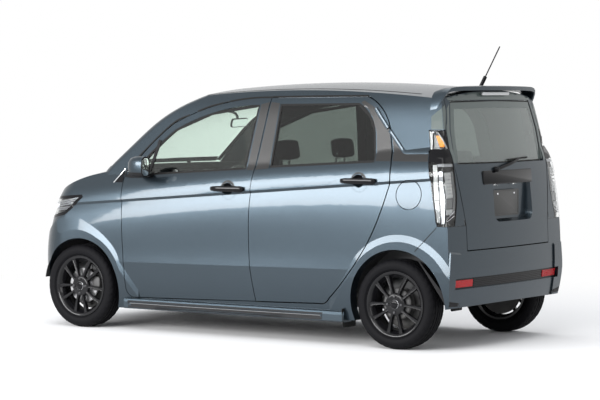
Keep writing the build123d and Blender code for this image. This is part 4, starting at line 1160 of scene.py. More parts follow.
class WAGON_OT_lamps(bpy.types.Operator):
    """Build the headlamps and tail lamps as lenses over housings, with their reflectors inside"""
    bl_idname = "wagon.lamps"
    bl_label = "Build lamps"

    def execute(self, context):
        for node in ("headlamps", "tail_lamps"):
            lens = piece(thicken(lamp_faces(node), 0, 2.5), f"{node}_lens", "Lamp Lens")
            shell = piece(thicken(lamp_faces(node, outside=False), 0, 1.2), f"{node}_housing",
                          "Satin Black")
            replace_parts(lens, node)
            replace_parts(shell, node)
            piece(thicken(lamp_faces(node), -16, 2), f"{node}_backing", "Lamp Dark")
        band = []
        for side, sign in SIDES:
            mesh = cut_away(lamp_faces("tail_lamps"), 0, sign * 560, 0, (0, -sign, 0))
            cut_away(mesh, 0, 0, 1163, (0, 0, -1))
            cut_away(mesh, 0, 0, 1244, (0, 0, 1))
            band.append(thicken(mesh, 0.6, 2))
        piece(band, "tail_lamp_band", "Gloss Black")
        nodes = "tail_lamps"
        for name, finish_name, lamp, near, far, low, high, lift in TAIL_BANDS:
            halves = [cover(nodes, f"{side} corner", lamp_line(lamp, near, low, high),
                            lamp_line(lamp, far, low, high), 30, 12, lift, 3) for side, _ in SIDES]
            piece(halves, f"tail_lamp_{name}", finish_name, "body")
        self.tail_details(nodes)
        self.head_details()
        return {"FINISHED"}

    def tail_details(self, nodes):
        ribs, strips, edges, wedges, fillers, blocks = [], [], [], [], [], []
        for side, _ in SIDES:
            view = f"{side} corner"
            for share in (0.26, 0.32, 0.38, 0.44, 0.50):
                ribs.append(bead(nodes, view, lamp_line(UPPER_LAMP, share, 1254, 1348),
                                 ring_profile(2.2, 8), -5, 20))
            for low, high in ((822, 866), (806, 838)):
                line = [(lamp_angle(LOWER_LAMP, s, low), low + (high - low) * (s - 0.46) / 0.5)
                        for s in (0.46, 0.6, 0.75, 0.86, 0.96)]
                strips.append(bead(nodes, view, line, ring_profile(3.4, 8), -3, 20))
            for lamp, low, high in ((LOWER_LAMP, 778, 1158), (UPPER_LAMP, 1248, 1357)):
                for share in (0.0, 1.0):
                    edges.append(bead(nodes, view, lamp_line(lamp, share, low, high),
                                      ridge(3.5, 3, 1.4, 2), 0, 40))
            wedges.append(cover(nodes, view, [(a, z) for z, _, a in UPPER_LAMP],
                                [(a, z) for z, a in UPPER_LAMP_END], 20, 8, 0.6, 1.6))
            fillers.append(cover(nodes, view, lamp_line(LOWER_LAMP, 1, 775, 1160),
                                 [(a, z) for z, a in LAMP_END], 40, 10, 0.8, 2))
            for row in range(7):
                for column in range(4):
                    low = 953 + row * 21.5
                    share = 0.475 + column * 0.078
                    flat = (lamp_angle(LOWER_LAMP, share + 0.035, low + 10), low + 10)
                    spot, normal = land(nodes, view, *flat)
                    place = at(*(spot / MM - normal * 4), (0, 0, 1), normal)
                    blocks.append(lathe([(0, 2.6), (5, 2), (8, 0.6), (8.6, -1), (0, -1)], 8, place))
        piece(ribs, "tail_lamp_ribs", "Lamp White")
        piece(strips, "tail_lamp_strips", "Chrome")
        piece(edges, "tail_lamp_edges", "Gloss Black")
        piece(wedges, "tail_lamp_wedges", "Gloss Black")
        piece(fillers, "tail_lamp_fillers", "Body Paint")
        piece(blocks, "tail_lamp_optics", "Lamp White", angle=50)

    def head_details(self):
        nodes = "headlamps"
        bowls, lenses, strips, fins, frames = [], [], [], [], []
        for side, sign in SIDES:
            for across, height, radius in ((548, 800, 33), (628, 818, 26)):
                spot, _ = land(nodes, "front", sign * across, height)
                aim = Vector((-1, sign * 0.25, 0)).normalized()
                spot = spot / MM - aim * (9 if across < 600 else 12)
                place = at(*spot, (0, 0, 1), aim)
                bowls.append(lathe([(radius, 2), (radius + 3, 3), (radius + 4, 0), (radius + 2, -12),
                                    (radius * 0.6, -22), (0, -26), (0, -23), (radius * 0.5, -19),
                                    (radius - 3, -8), (radius, 2)], 48, place))
                lenses.append(lathe([(0, 3), (radius * 0.4, 2), (radius * 0.7, -1), (radius * 0.84, -6),
                                     (radius * 0.6, -10), (0, -11)], 40, place))
            strips.append(bead(nodes, "front", flip(sign, [(482, 846), (560, 856), (655, 872)]),
                               ring_profile(5, 10, 0.7), -8, 30, smooth=True))
            # The part that wraps round to the side: bright fins in a black frame
            for step in range(6):
                low, high = 792 + step * 11, 800 + step * 15
                fins.append(bead(nodes, side, [(-1500 + step * 4, low),
                                               (-1400 + step * 8, (low + high) / 2 + 4),
                                               (-1310 + step * 8, high + 8)], ridge(4.2, 3, 3), -8, 24,
                                 smooth=True))
            edge = [(-1244, 893), (-1392, 772), (-1560, 738)]
            frames.append(bead(nodes, side, edge, [(-13, -2), (-12, 1.6), (9, 1.6), (10, -2)], 0, 40))
            edge = [(-1248, 892), (-1400, 880), (-1560, 868)]
            frames.append(bead(nodes, side, edge, ridge(10, 9, 1.6, 2), 0, 40))
        piece(bowls, "headlamp_bowls", "Chrome")
        piece(lenses, "headlamp_projectors", "Screen", "body")
        piece(strips, "headlamp_guides", "Lamp White")
        piece(fins, "headlamp_fins", "Lamp Silver")
        piece(frames, "headlamp_frames", "Gloss Black")


GARNISH_MIDDLE = (11, 1060)
RIB_PROFILE = ridge(3, 2.5, 3)


def number_plate(name, place, body):
    """A blank pressed plate with a raised rim and two screws."""
    base = join(slab(330, 165, 8, 2, place, 0.4),
                flat_ring(rounded_outline(316, 151, 6), place, ring_profile(2.2, 8, 0.6), 2.2))
    piece(base, name, "Plate Metal", body)
    heads = [lathe([(0, 3), (4, 2.8), (6.5, 1.8), (7.5, 0), (0, 0)], 24,
                   place @ Matrix.Translation(point(x, 58, 2))) for x in (-105, 105)]
    piece(heads, name + "_screws", "Machined Alloy", body)


# The rear spoiler from a side fin's foot up and over to its middle.
# columns: root side, root height, tail x, tail side, tail height, inwards, down
SPOILER_RIBS = ((597, 1452, 1462, 594, 1450, 12, 0), (595, 1480, 1484, 592, 1482, 12, 0),
                (592, 1510, 1508, 588, 1514, 12, 0), (584, 1545, 1530, 580, 1550, 12, 0),
                (570, 1574, 1547, 568, 1582, 12, -4), (552, 1594, 1557, 552, 1606, 8, -14),
                (520, 1607, 1563, 526, 1622, 0, -24), (470, 1614, 1570, 478, 1629, 0, -26),
                (380, 1620, 1580, 388, 1632, 0, -26), (260, 1625, 1592, 264, 1633, 0, -26),
                (130, 1628, 1600, 132, 1634, 0, -26), (0, 1629, 1603, 0, 1634, 0, -26))
SPOILER_ROOT = 1449


def spoiler_shell():
    """A hood over the rear glass, with fins that reach down beside it."""
    ribs = [(-1, *rib) for rib in SPOILER_RIBS] + [(1, *rib) for rib in SPOILER_RIBS[-2::-1]]
    rings = []
    for sign, side, height, tail, tail_side, tail_height, inwards, down in ribs:
        top, under = [], []
        for step in range(6):
            share = step / 5
            crown = 6 * math.sin(math.pi * share) if down < -10 else 0
            x = SPOILER_ROOT + (tail - SPOILER_ROOT) * share
            y = side + (tail_side - side) * share
            z = height + (tail_height - height) * share + crown
            top.append(point(x, sign * y, z))
            slim = 0.55 if step == 0 else 1
            under.append(point(x - (4 if step == 5 else 0), sign * (y - inwards), z + down * slim))
        rings.append(top + under[::-1])
    return loft(rings)


class WAGON_OT_tail_trim(bpy.types.Operator):
    """Fit the tailgate's garnish, wiper, plate and spoiler, and the rear bumper's trim"""
    bl_idname = "wagon.tail_trim"
    bl_label = "Fit tail trim"

    def execute(self, context):
        gate = ("tailgate", "tailgate_glass")
        spot, _ = land(gate, "rear", 330, 1075)
        skin_x = spot.x / MM
        place = facing(skin_x - 16, *GARNISH_MIDDLE, (1, 0, 0.08))
        piece(slab(622, 88, 14, 26, place, 4), "tail_garnish", "Gloss Black", "tailgate", angle=50)
        lamps = [slab(52, 16, 5, 5, facing(1650, y, 1016, (0, 0, -1)), 1) for y in (-120, 120)]
        piece(lamps, "plate_lamps", "Lamp Lens", "tailgate")
        number_plate("rear_plate", facing(1650, 0, 897, (1, 0, 0.0)), "tailgate")
        self.wiper(gate)
        insert = cover("rear_bumper", "rear", level(655, 388), level(655, 448), 80, 6, 1.5, 2)
        piece(insert, "rear_bumper_insert", "Insert Black And Cup Shade")
        ribs = [bead("rear_bumper", "rear", level(436, z), RIB_PROFILE, 1.5, 50)
                for z in (397, 408, 419, 430, 441)]
        piece(ribs, "rear_bumper_ribs", "Gloss Black")
        reflectors = [cover("rear_bumper", "rear", flip(sign, [(448, 396), (640, 396)]),
                            flip(sign, [(448, 440), (650, 440)]), 24, 5, 6, 5) for _, sign in SIDES]
        piece(reflectors, "rear_reflectors", "Red Reflex")
        chins = [cover("rear_bumper", "rear", flip(sign, [(560, 268), (700, 268)]),
                       flip(sign, [(600, 300), (716, 316)]), 16, 4, 1.0, 2) for _, sign in SIDES]
        for side, _ in SIDES:
            joint = bead((f"side_frame_{side}", "rear_bumper"), side,
                         [(1424, 616), (1500, 696), (1573, 768)], ridge(2.5, 2, 1.2), 0.3, 24)
            piece(joint, f"bumper_joint_{side}", "Rubber Seal")
        piece(chins, "rear_bumper_chins", "Satin Black")
        spoiler = piece(spoiler_shell(), "rear_spoiler_shell", "Body Paint", "tailgate", angle=40)
        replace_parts(soften(spoiler, 5, 3), "rear_spoiler")
        stop = slab(340, 20, 8, 12, facing(1566, 0, 1588, (1, 0, -0.2)), 2)
        piece(stop, "high_stop_lamp", "Lamp White", "tailgate")
        return {"FINISHED"}

    def wiper(self, gate):
        pivot, _ = land(gate, "rear", -137, 1110)
        tip, _ = land(gate, "rear", 315, 1158)
        x, tip_x = pivot.x / MM + 12, tip.x / MM + 13
        arm = sweep(curve_through([point(x + 6, -137, 1112), point(x + 10, -60, 1128),
                                   point(x + 6, 60, 1150), point(tip_x, 190, 1170)], 30, True),
                    [Vector((1, 0, 0))] * 30, ring_profile(9, 12, 0.5))
        base = lathe([(0, 14), (10, 13), (15, 10), (17, 4), (17, -12), (0, -12)], 32,
                     facing(x, -137, 1112, (1, 0, 0)))
        piece(join(arm, base), "rear_wiper_arm", "Satin Black", "tailgate")
        blade = []
        for share in range(9):
            y = 40 + 275 * share / 8
            z = 1166 + 10 * share / 8
            spot, normal = land(gate, "rear", y, z)
            blade.append(spot + normal * 7 * MM)
        path = curve_through(blade, 40, True)
        strip = sweep(path, [Vector((1, 0, 0.1))] * 40, [(-5, 3), (0, 6), (5, 3), (1, -1), (1, -6),
                                                         (-1, -6), (-1, -1)])
        piece(strip, "rear_wiper_blade", "Rubber Seal", "tailgate")


class WAGON_OT_nose_trim(bpy.types.Operator):
    """Fit the grille bars, intake, fog lamps and lip"""
    bl_idname = "wagon.nose_trim"
    bl_label = "Fit nose trim"

    def execute(self, context):
        bars = [bead("front_grille", "front", level(455, z), ridge(5, 3, 7), 0, 60) for z in (738, 758,
                                                                                              778)]
        piece(bars, "grille_bars", "Satin Black")
        strip = bead("front_grille", "front", level(462, 822, 826),
                     [(-9, -1), (-8, 4), (0, 6), (8, 4), (9, -1)], 0, 80)
        piece(strip, "grille_strip", "Chrome", "body")
        bumper = "front_bumper"
        rods = []
        for z in range(285, 415, 18):
            reach = 480 - 0.27 * (z - 265)
            rods.append(bead(bumper, "front", level(reach, z), ridge(3, 2, 6), 0, 60))
        for y in range(-440, 441, 40):
            rods.append(bead(bumper, "front", [(y, 275), (y, 412)], ridge(2, 1.5, 4), 0, 12))
        piece(rods, "intake_mesh", "Satin Black")
        backing = cover(bumper, "front", level(482, 268), level(444, 416), 60, 8, 0.8, 1.4)
        piece(backing, "intake_backing", "Gloss Black")
        fogs, glasses = [], []
        for _, sign in SIDES:
            spot, normal = land(bumper, "front", sign * 585, 370)
            place = at(*(spot / MM), (0, 0, 1), normal)
            fogs.append(lathe([(36, -4), (46, 1), (50, 3), (52, 0), (50, -8), (36, -8), (36, -4)], 48,
                              place))
            glasses.append(lathe([(0, 2), (20, 1), (34, -2), (36, -5), (0, -5)], 40, place))
        piece(fogs, "fog_lamp_rims", "Gloss Black")
        piece(glasses, "fog_lamp_lenses", "Reflector")
        lip = cover(bumper, "front", level(640, 182, 178), level(650, 228, 224), 70, 5, 1.0, 1.6)
        piece(lip, "front_bumper_lip", "Satin Black")
        return {"FINISHED"}


# Wheel arch liners. columns: end, middle x, radius
LINERS = (("front", FRONT_AXLE + 6, 334), ("rear", REAR_AXLE, 347))
LINER_SIDES = (600, 700)
LINER_THICKNESS = 3


class WAGON_OT_side_trim(bpy.types.Operator):
    """Fit the skirt inserts and their lines, mud flaps and wheel arch liners"""
    bl_idname = "wagon.side_trim"
    bl_label = "Fit side trim"

    def execute(self, context):
        for side, sign in SIDES:
            nodes = f"side_frame_{side}"
            skirt = cover(nodes, side, [(-820, 160), (-400, 156), (200, 156), (735, 160)],
                          [(-826, 204), (-400, 204), (200, 204), (741, 204)], 60, 6, 1.0, 1.8)
            piece(skirt, f"skirt_insert_{side}", "Satin Black")
            line = bead(nodes, side, [(-806, 186), (-400, 185), (200, 185), (726, 186)],
                        ridge(2.5, 2, 2.6), 0.5, 60)
            piece(line, f"skirt_line_{side}", "Lamp Grey", "body")
            flap = slab(150, 120, 14, 4, facing(892, sign * 662, 176, (1, 0, 0.1)), 1)
            piece(flap, f"mud_flap_{side}", "Rubber Seal")
            inner, outer = LINER_SIDES
            for end, x, radius in LINERS:
                under = radius - LINER_THICKNESS
                rings = []
                for step in range(25):
                    turn = math.radians(8 + 164 * step / 24)
                    rings.append([point(x + reach * math.cos(turn), sign * out,
                                        AXLE_HEIGHT + reach * math.sin(turn)) for reach,
                                  out in ((radius, inner), (radius, outer), (under, outer),
                                          (under, inner))])
                piece(loft(rings), f"arch_liner_{end}_{side}", "Underbody Seal")
        return {"FINISHED"}


def inward(node, way, least, planes=()):
    """The part of a node's surface that faces one way, inside the planes."""
    mesh = faces_of(node, lambda face: face.normal.dot(Vector(way)) >= least)
    for spot, away in planes:
        cut_away(mesh, *spot, away)
    return mesh


# The height at which the door cards end and the window frames begin
SILL = (0, 0, 1065)


class WAGON_OT_lining(bpy.types.Operator):
    """Line the doors, side walls, roof, tailgate and floor"""
    bl_idname = "wagon.lining"
    bl_label = "Line cabin"

    def execute(self, context):
        for side, sign in SIDES:
            for door in ("front_door", "rear_door"):
                node = f"{door}_{side}"
                for name, finish_name, planes in (
                        ("card", "Cabin Trim", ((SILL, (0, 0, 1)), ((0, 0, 300), (0, 0, -1)))),
                        ("frame_trim", "Cabin Plastic", ((SILL, (0, 0, -1)),))):
                    piece(thicken(inward(node, (0, -sign, 0), 0.5, planes), 1.5, 1.4),
                          f"{door}_{name}_{side}", finish_name, node)
                self.door_fittings(door, node, side, sign)
            wall = inward(f"side_frame_{side}", (0, -sign, 0), 0.5,
                          (((-800, 0, 0), (-1, 0, 0)), ((0, 0, 420), (0, 0, -1))))
            piece(thicken(wall, 1.5, 1.4), f"wall_trim_{side}", "Cabin Plastic")
        roof = inward("roof_panel", (0, 0, -1), 0.4)
        piece(thicken(roof, 2, 1.8), "headlining", "Headlining")
        gate = inward("tailgate", (-1, 0, 0), 0.5)
        piece(thicken(gate, 1.5, 1.4), "tailgate_trim", "Cabin Trim", "tailgate")
        floor = inward("floor_pan", (0, 0, 1), 0.85, (((-930, 0, 0), (-1, 0, 0)), ((1600, 0, 0), (1, 0, 0)),
                                                      ((0, 0, 480), (0, 0, 1))))
        piece(thicken(floor, 6, 5), "carpet", "Carpet")
        return {"FINISHED"}

    def door_fittings(self, door, node, side, sign):
        front = door == "front_door"
        middle, height = (-330, 880) if front else (560, 900)
        spot, _, _, _ = skin(node).ray_cast(point(middle, 0, height), Vector((0, sign, 0)))
        wall = abs(spot.y) / MM if spot else 650
        rest = slab(360, 62, 24, 46, sideways(middle, sign * (wall + 1), height, -sign), 8)
        piece(rest, f"{door}_armrest_{side}", "Cabin Plastic", node, angle=60)
        pull = lathe([(0, 8), (14, 7), (18, 3), (18, -6), (0, -6)], 28,
                     sideways(middle - 210, sign * (wall - 2), height + 50, -sign))
        piece(pull, f"{door}_inner_latch_{side}", "Machined Alloy", node)
        speaker = middle + (-240 if front else 200)
        mesh = [lathe([(64, 0), (70, 4), (76, 0), (76, -3), (64, -3), (64, 0)], 48,
                      sideways(speaker, sign * (wall - 2), 470, -sign))]
        for step in range(-6, 7):
            reach = math.sqrt(max(0, 62 ** 2 - (step * 10) ** 2))
            if reach > 8:
                mesh.append(plate([(-reach, -1.5), (reach, -1.5), (reach, 1.5), (-reach, 1.5)], 3,
                                  sideways(speaker, sign * (wall - 1), 470 + step * 10, -sign)))
        piece(mesh, f"{door}_speaker_{side}", "Satin Black", node)


# Ways that the dashboard's face and the cabin mirror look
DASH_FACE = (0.94, 0, 0.34)
CABIN_MIRROR_FACE = (0.97, 0.12, -0.2)
# The steering wheel: its middle, and its axis in degrees above level
WHEEL_MIDDLE = (-600, 330, 915)
WHEEL_TILT = 26


class WAGON_OT_dashboard(bpy.types.Operator):
    """Fit the dashboard's vents, screen, instruments and the steering wheel's pad"""
    bl_idname = "wagon.dashboard"
    bl_label = "Fit dashboard"

    def execute(self, context):
        screen = slab(210, 120, 10, 14, facing(-790, 0, 962, DASH_FACE), 2)
        piece(screen, "dash_screen", "Screen")
        frame_bar = slab(230, 140, 16, 9, facing(-792, 0, 960, DASH_FACE), 2)
        piece(frame_bar, "dash_screen_rim", "Gloss Black", "body")
        hood_points = [(-905, 330 + 150 * math.cos(math.pi * s / 14), 984 + 62 * math.sin(math.pi * s / 14))
                       for s in range(15)]
        path = [point(*p) for p in hood_points]
        piece(sweep(path, [Vector((0, (p[1] - 330) / 150, (p[2] - 980) / 62 + 0.01)).normalized()
                           for p in hood_points], [(-60, -3), (-62, 3), (46, 5), (50, -3)]),
              "instrument_hood", "Cabin Plastic", angle=45)
        dials = []
        for y, radius in ((262, 40), (330, 48), (398, 40)):
            dials.append(lathe([(0, 1), (radius - 5, 1), (radius - 4, 5), (radius, 6), (radius + 2, 3),
                                (radius + 2, -4), (0, -4)], 48, facing(-872, y, 1000, DASH_FACE)))
        piece(dials, "instrument_dials", "Screen")
        vents = []
        for y in (-520, -160, 160, 520):
            place = facing(-776, y, 890, (0.97, 0, 0.22))
            vents.append(flat_ring(rounded_outline(96, 60, 14), place, ring_profile(4, 8), 6))
            for row in range(-2, 3):
                vents.append(plate([(-42, -1.2), (42, -1.2), (42, 1.2), (-42, 1.2)], 10,
                                   place @ Matrix.Translation(point(0, row * 11, 0))))
        piece(vents, "dash_vents", "Gloss Black", "body")
        lid = slab(330, 110, 16, 5, facing(-776, -330, 800, (0.94, 0, -0.34)), 1.5)
        piece(lid, "glove_box_lid", "Cabin Trim")
        tilt = math.radians(WHEEL_TILT)
        axis = Vector((math.cos(tilt), 0, math.sin(tilt)))
        hub = Vector(WHEEL_MIDDLE) + axis * 6
        pad = lathe([(0, 16), (30, 15), (52, 11), (64, 4), (66, 0), (0, 0)], 48, facing(*hub, axis))
        piece(pad, "steering_pad", "Stitched Leather", "steering_wheel")
        boss = lathe([(0, 3), (17, 2.4), (20, 0), (0, 0)], 36, facing(*(hub + axis * 15), axis))
        piece(boss, "steering_boss", "Lamp Silver", "body")
        column = tube([(-612, 330, 908), (-760, 330, 838), (-880, 330, 782)], 34, 12, 20, False, (0, 1, 0))
        piece(column, "steering_column", "Cabin Plastic")
        lever = slab(40, 70, 14, 46, facing(-742, 96, 872, (0.9, 0, 0.42)), 8)
        piece(lever, "gear_lever", "Gloss Black", "body", 50)
        glass_body = slab(225, 62, 24, 12, facing(-440, 0, 1388, CABIN_MIRROR_FACE), 3)
        piece(glass_body, "cabin_mirror_back", "Cabin Plastic", angle=50)
        face = slab(213, 50, 20, 1.5, facing(-428, 1.4, 1385.6, CABIN_MIRROR_FACE))
        piece(face, "cabin_mirror_glass", "Mirror Glass")
        spot, _ = land("windshield", "front", 0, 1478)
        stalk = tube([(spot.x / MM + 14, 0, 1478), (-470, 0, 1452), (-446, 0, 1396)], 9, 16)
        piece(stalk, "cabin_mirror_stalk", "Cabin Plastic")
        for side, sign in SIDES:
            visor = slab(350, 120, 22, 16, facing(-330, sign * 270, 1530, (0.35, 0, 0.94)), 5)
            piece(visor, f"sun_visor_{side}", "Headlining", angle=50)
        return {"FINISHED"}


# ---------------------------------------------------------------- seats


CLOTH_STEPS = 18
# Size of a cell of the cloth
CLOTH_CELL = 10
# The most that the cloth simulation may swell a pad by
SWELL = 14
# A distance that no sewn channel reaches
NOWHERE = 999


def block(half_x, half_y, half_z, cells, shape):
    """A closed box of even cells, its points moved by a shape rule given shares from -1 to 1."""
    mesh = bmesh.new()
    bmesh.ops.create_cube(mesh, size=2)
    bmesh.ops.subdivide_edges(mesh, edges=mesh.edges[:], cuts=cells, use_grid_fill=True)
    for corner in mesh.verts:
        x, y, z = corner.co
        # Round the box towards an ellipsoid at its corners
        round_x = x * math.sqrt(max(0.0, 1 - 0.16 * (y * y + z * z) + 0.05 * y * y * z * z))
        round_y = y * math.sqrt(max(0.0, 1 - 0.10 * (x * x + z * z) + 0.03 * x * x * z * z))
        round_z = z * math.sqrt(max(0.0, 1 - 0.20 * (x * x + y * y) + 0.08 * x * x * y * y))
        corner.co = point(*shape(half_x * round_x, half_y * round_y, half_z * round_z, x, y, z))
    return mesh


def stuffed(mesh, name):
    """Swells a closed pad with a short cloth simulation and returns the result as a bmesh."""
    data = bpy.data.meshes.new(name)
    mesh.to_mesh(data)
    thing = bpy.data.objects.new(name, data)
    bpy.context.collection.objects.link(thing)
    remesh = thing.modifiers.new("Even cells", "REMESH")
    remesh.mode = "VOXEL"
    remesh.voxel_size = CLOTH_CELL * MM
    evaluated = thing.evaluated_get(bpy.context.evaluated_depsgraph_get())
    even = bpy.data.meshes.new_from_object(evaluated)
    thing.modifiers.clear()
    thing.data = even
    rest = [v.co.copy() for v in even.vertices]
    cloth = thing.modifiers.new("Cloth", "CLOTH")
    cloth.settings.use_pressure = True
    cloth.settings.uniform_pressure_force = 4
    cloth.settings.effector_weights.gravity = 0
    cloth.settings.quality = 4
    cloth.point_cache.frame_start = 1
    cloth.point_cache.frame_end = CLOTH_STEPS
    scene = bpy.context.scene
    for step in range(1, CLOTH_STEPS + 1):
        scene.frame_set(step)
    evaluated = thing.evaluated_get(bpy.context.evaluated_depsgraph_get())
    swollen = bpy.data.meshes.new_from_object(evaluated)
    for corner, start in zip(swollen.vertices, rest):
        move = corner.co - start
        if move.length > SWELL * MM:
            corner.co = start + move.normalized() * SWELL * MM
    out = bmesh.new()
    out.from_mesh(swollen)
    bpy.data.objects.remove(thing)
    scene.frame_set(1)
    mesh.free()
    return out


def groove_in(mesh, places, width, depth, along):
    """Presses sewn channels into a pad, where along gives a point's distance across the channels."""
    mesh.normal_update()
    for corner in mesh.verts:
        reach = along(corner.co / MM)
        near = min(abs(reach - place) for place in places)
        if near < width:
            corner.co -= corner.normal * depth * MM * (0.5 + 0.5 * math.cos(math.pi * near / width))


def front_cushion(x, y, z, u, v, w):
    """A seat cushion: higher at its sides and front, with a hollow to sit in."""
    bolster = 26 * max(0.0, abs(v) - 0.62) / 0.38 if w > 0 else 0
    thigh = 18 * max(0.0, -u - 0.5) / 0.5 if w > 0 else 0
    return x, y, z + bolster + thigh - (8 if w > 0 and abs(v) < 0.6 else 0)


def front_back(x, y, z, u, v, w):
    """A backrest: narrower at its top, with side bolsters in front."""
    narrow = 1 - 0.16 * max(0.0, w) ** 2
    bolster = -30 * max(0.0, abs(v) - 0.60) / 0.40 * (1 - 0.5 * max(0.0, w)) if u < 0 else 0
    return x + bolster - 8 * (1 - w * w) * (u < 0) * (abs(v) < 0.5), y * narrow, z


def plain_pad(x, y, z, u, v, w):
    return x, y, z


# Pads in their own axes. columns: half length, half width, half height, cells, shape, lean in degrees
PADS = {
    "front_cushion": (236, 222, 56, 26, front_cushion, 4),
    "front_back": (44, 212, 290, 28, front_back, -13),
    "head_restraint": (32, 112, 66, 18, plain_pad, -10),
    "rear_cushion": (222, 252, 60, 26, plain_pad, 5),
    "rear_back": (42, 254, 268, 28, plain_pad, -10),
}
# columns: piece, pad, x, y, z, fill
SEATS = (
    ("front_cushion", "front_cushion", -200, 330, 492, 0.6),
    ("front_back", "front_back", 112, 330, 838, 0.6),
    ("front_head_restraint", "head_restraint", 196, 330, 1216, 0.8),
    ("rear_cushion", "rear_cushion", 842, 262, 510, 0.6),
    ("rear_back", "rear_back", 1096, 262, 816, 0.6),
    ("rear_head_restraint", "head_restraint", 1164, 268, 1148, 0.8),
)


class WAGON_OT_seats(bpy.types.Operator):
    """Upholster the seats: stuffed pads with sewn channels, bases, hinges and head restraints"""
    bl_idname = "wagon.seats"
    bl_label = "Upholster seats"

    def execute(self, context):
        shapes = {}
        for name, (half_x, half_y, half_z, cells, shape, lean) in PADS.items():
            mesh = block(half_x, half_y, half_z, cells, shape)
            mesh = stuffed(mesh, name + "_form")
            if "restraint" not in name:
                if half_z > 200:
                    groove_in(mesh, (-120, 120), 9, 7, lambda p: p.y)
                    groove_in(mesh, (-150, -50, 50, 150), 8, 5,
                              lambda p: p.z if abs(p.y) < 118 else NOWHERE)
                else:
                    groove_in(mesh, (-125, 125), 9, 7, lambda p: p.y if p.z > 0 else NOWHERE)
                    groove_in(mesh, (-130, -40, 50), 8, 5,
                              lambda p: p.x if p.z > 0 and abs(p.y) < 123 else NOWHERE)
            mesh.transform(Matrix.Rotation(math.radians(lean), 4, "Y"))
            data = bpy.data.meshes.new(name)
            mesh.to_mesh(data)
            mesh.free()
            shapes[name] = data
        for name, pad, x, y, z, fill in SEATS:
            for side, sign in SIDES:
                mesh = bmesh.new()
                mesh.from_mesh(shapes[pad])
                mesh.transform(Matrix.Translation(point(x, sign * y, z)))
                thing = piece(mesh, f"{name}_{side}", "Cabin Cloth", angle=60)
                smooth = thing.modifiers.new("Smooth", "SUBSURF")
                smooth.levels = smooth.render_levels = 1
                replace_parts(thing, "front_seats" if name.startswith("front") else "rear_seat")
        for data in shapes.values():
            bpy.data.meshes.remove(data)
        self.fittings()
        return {"FINISHED"}

    def fittings(self):
        for side, sign in SIDES:
            posts = []
            for x, y, z in ((184, 330, 1216), (1152, 268, 1148)):
                for aside in (-52, 52):
                    posts.append(tube([(x - 12, sign * y + aside, z - 110), (x, sign * y + aside, z - 20)],
                                      6, 8, 12, False, (0, 1, 0)))
            piece(posts, f"restraint_posts_{side}", "Chrome", "body")
            base = slab(340, 380, 30, 200, at(-160, sign * 330, 216), 6)
            piece(base, f"front_seat_base_{side}", "Cabin Plastic", angle=50)
            hinge = lathe([(0, 20), (24, 18), (34, 12), (36, 4), (36, -4), (0, -4)], 32,
                          sideways(40, sign * 560, 520, sign))
            hinge.transform(Matrix.Translation(point(0, -sign * 12, 0)))
            piece(hinge, f"front_seat_hinge_{side}", "Cabin Plastic")
            under = slab(280, 430, 20, 84, at(920, sign * 240, 358), 5)
            piece(under, f"rear_seat_base_{side}", "Cabin Plastic", angle=50)


class WAGON_OT_roof_trim(bpy.types.Operator):
    """Fit the front wipers, roof joints and the antenna's foot"""
    bl_idname = "wagon.roof_trim"
    bl_label = "Fit roof trim"

    def execute(self, context):
        screen = ("windshield", "cowl_panel", "roof_panel")
        for name, pivot, tip in (("left", -300, 250), ("right", 330, 560)):
            foot, _ = land("cowl_panel", "top", -1115, pivot)
            arm, blade = [], []
            for share in range(9):
                y = pivot + (tip - pivot) * share / 8
                z = 1098 + 12 * share / 8
                spot, normal = land(screen, "front", y, z + 10)
                arm.append(spot + normal * (16 - share * 0.5) * MM)
                blade.append(spot + normal * 8 * MM)
            arm[0] = Vector((foot.x, foot.y, foot.z + 0.012))
            path = curve_through(arm, 30, True)
            rod = sweep(path, [Vector((-0.6, 0, 0.8))] * 30, ring_profile(8, 10, 0.5))
            cap = lathe([(0, 20), (10, 19), (15, 15), (16, -6), (0, -6)], 28, Matrix.Translation(foot))
            piece(join(rod, cap), f"front_wiper_arm_{name}", "Satin Black")
            strip = sweep(curve_through(blade[2:], 30, True), [Vector((-0.7, 0, 0.7))] * 30,
                          [(-4, 3), (0, 6), (4, 3), (1, -1), (1, -6), (-1, -6), (-1, -1)])
            piece(strip, f"front_wiper_blade_{name}", "Rubber Seal")
        for name, sign in SIDES:
            line = [(x, sign * 505) for x in (-480, -200, 200, 600, 1000, 1330)]
            strip = bead("roof_panel", "top", line, [(-7, -1), (-6, 1.2), (0, 1.8), (6, 1.2), (7, -1)], 0,
                         60)
            piece(strip, f"roof_joint_{name}", "Satin Black")
        spot, normal = land("roof_panel", "top", 1350, 228)
        foot = lathe([(0, 20), (8, 19), (13, 15), (17, 7), (19, 0), (19, -4), (0, -4)], 32,
                     at(*(spot / MM), (1, 0, 0), (0.2, 0, 0.98)))
        piece(foot, "antenna_foot", "Rubber Seal")
        return {"FINISHED"}


# Camera: where it looks, how far away it stands, its angles and its lens
LOOK_AT = (68.9, 0, 871.0)
CAMERA_DISTANCE = 16015.8
AZIMUTH = 34.34
ELEVATION = 2.64
LENS = 142.96
# The floor reaches this many metres each way, and fades to white between the two distances
FLOOR_REACH = 60
FADE = (2.0, 5.0)


def seen_ray(tree):
    """One for the rays that show the backdrop itself, to the eye, in a reflection or through glass."""
    path = tree.add("LightPath")
    mirrored = tree.math("MAXIMUM", path.outputs["Is Glossy Ray"], path.outputs["Is Transmission Ray"])
    return tree.math("MAXIMUM", path.outputs["Is Camera Ray"], mirrored)


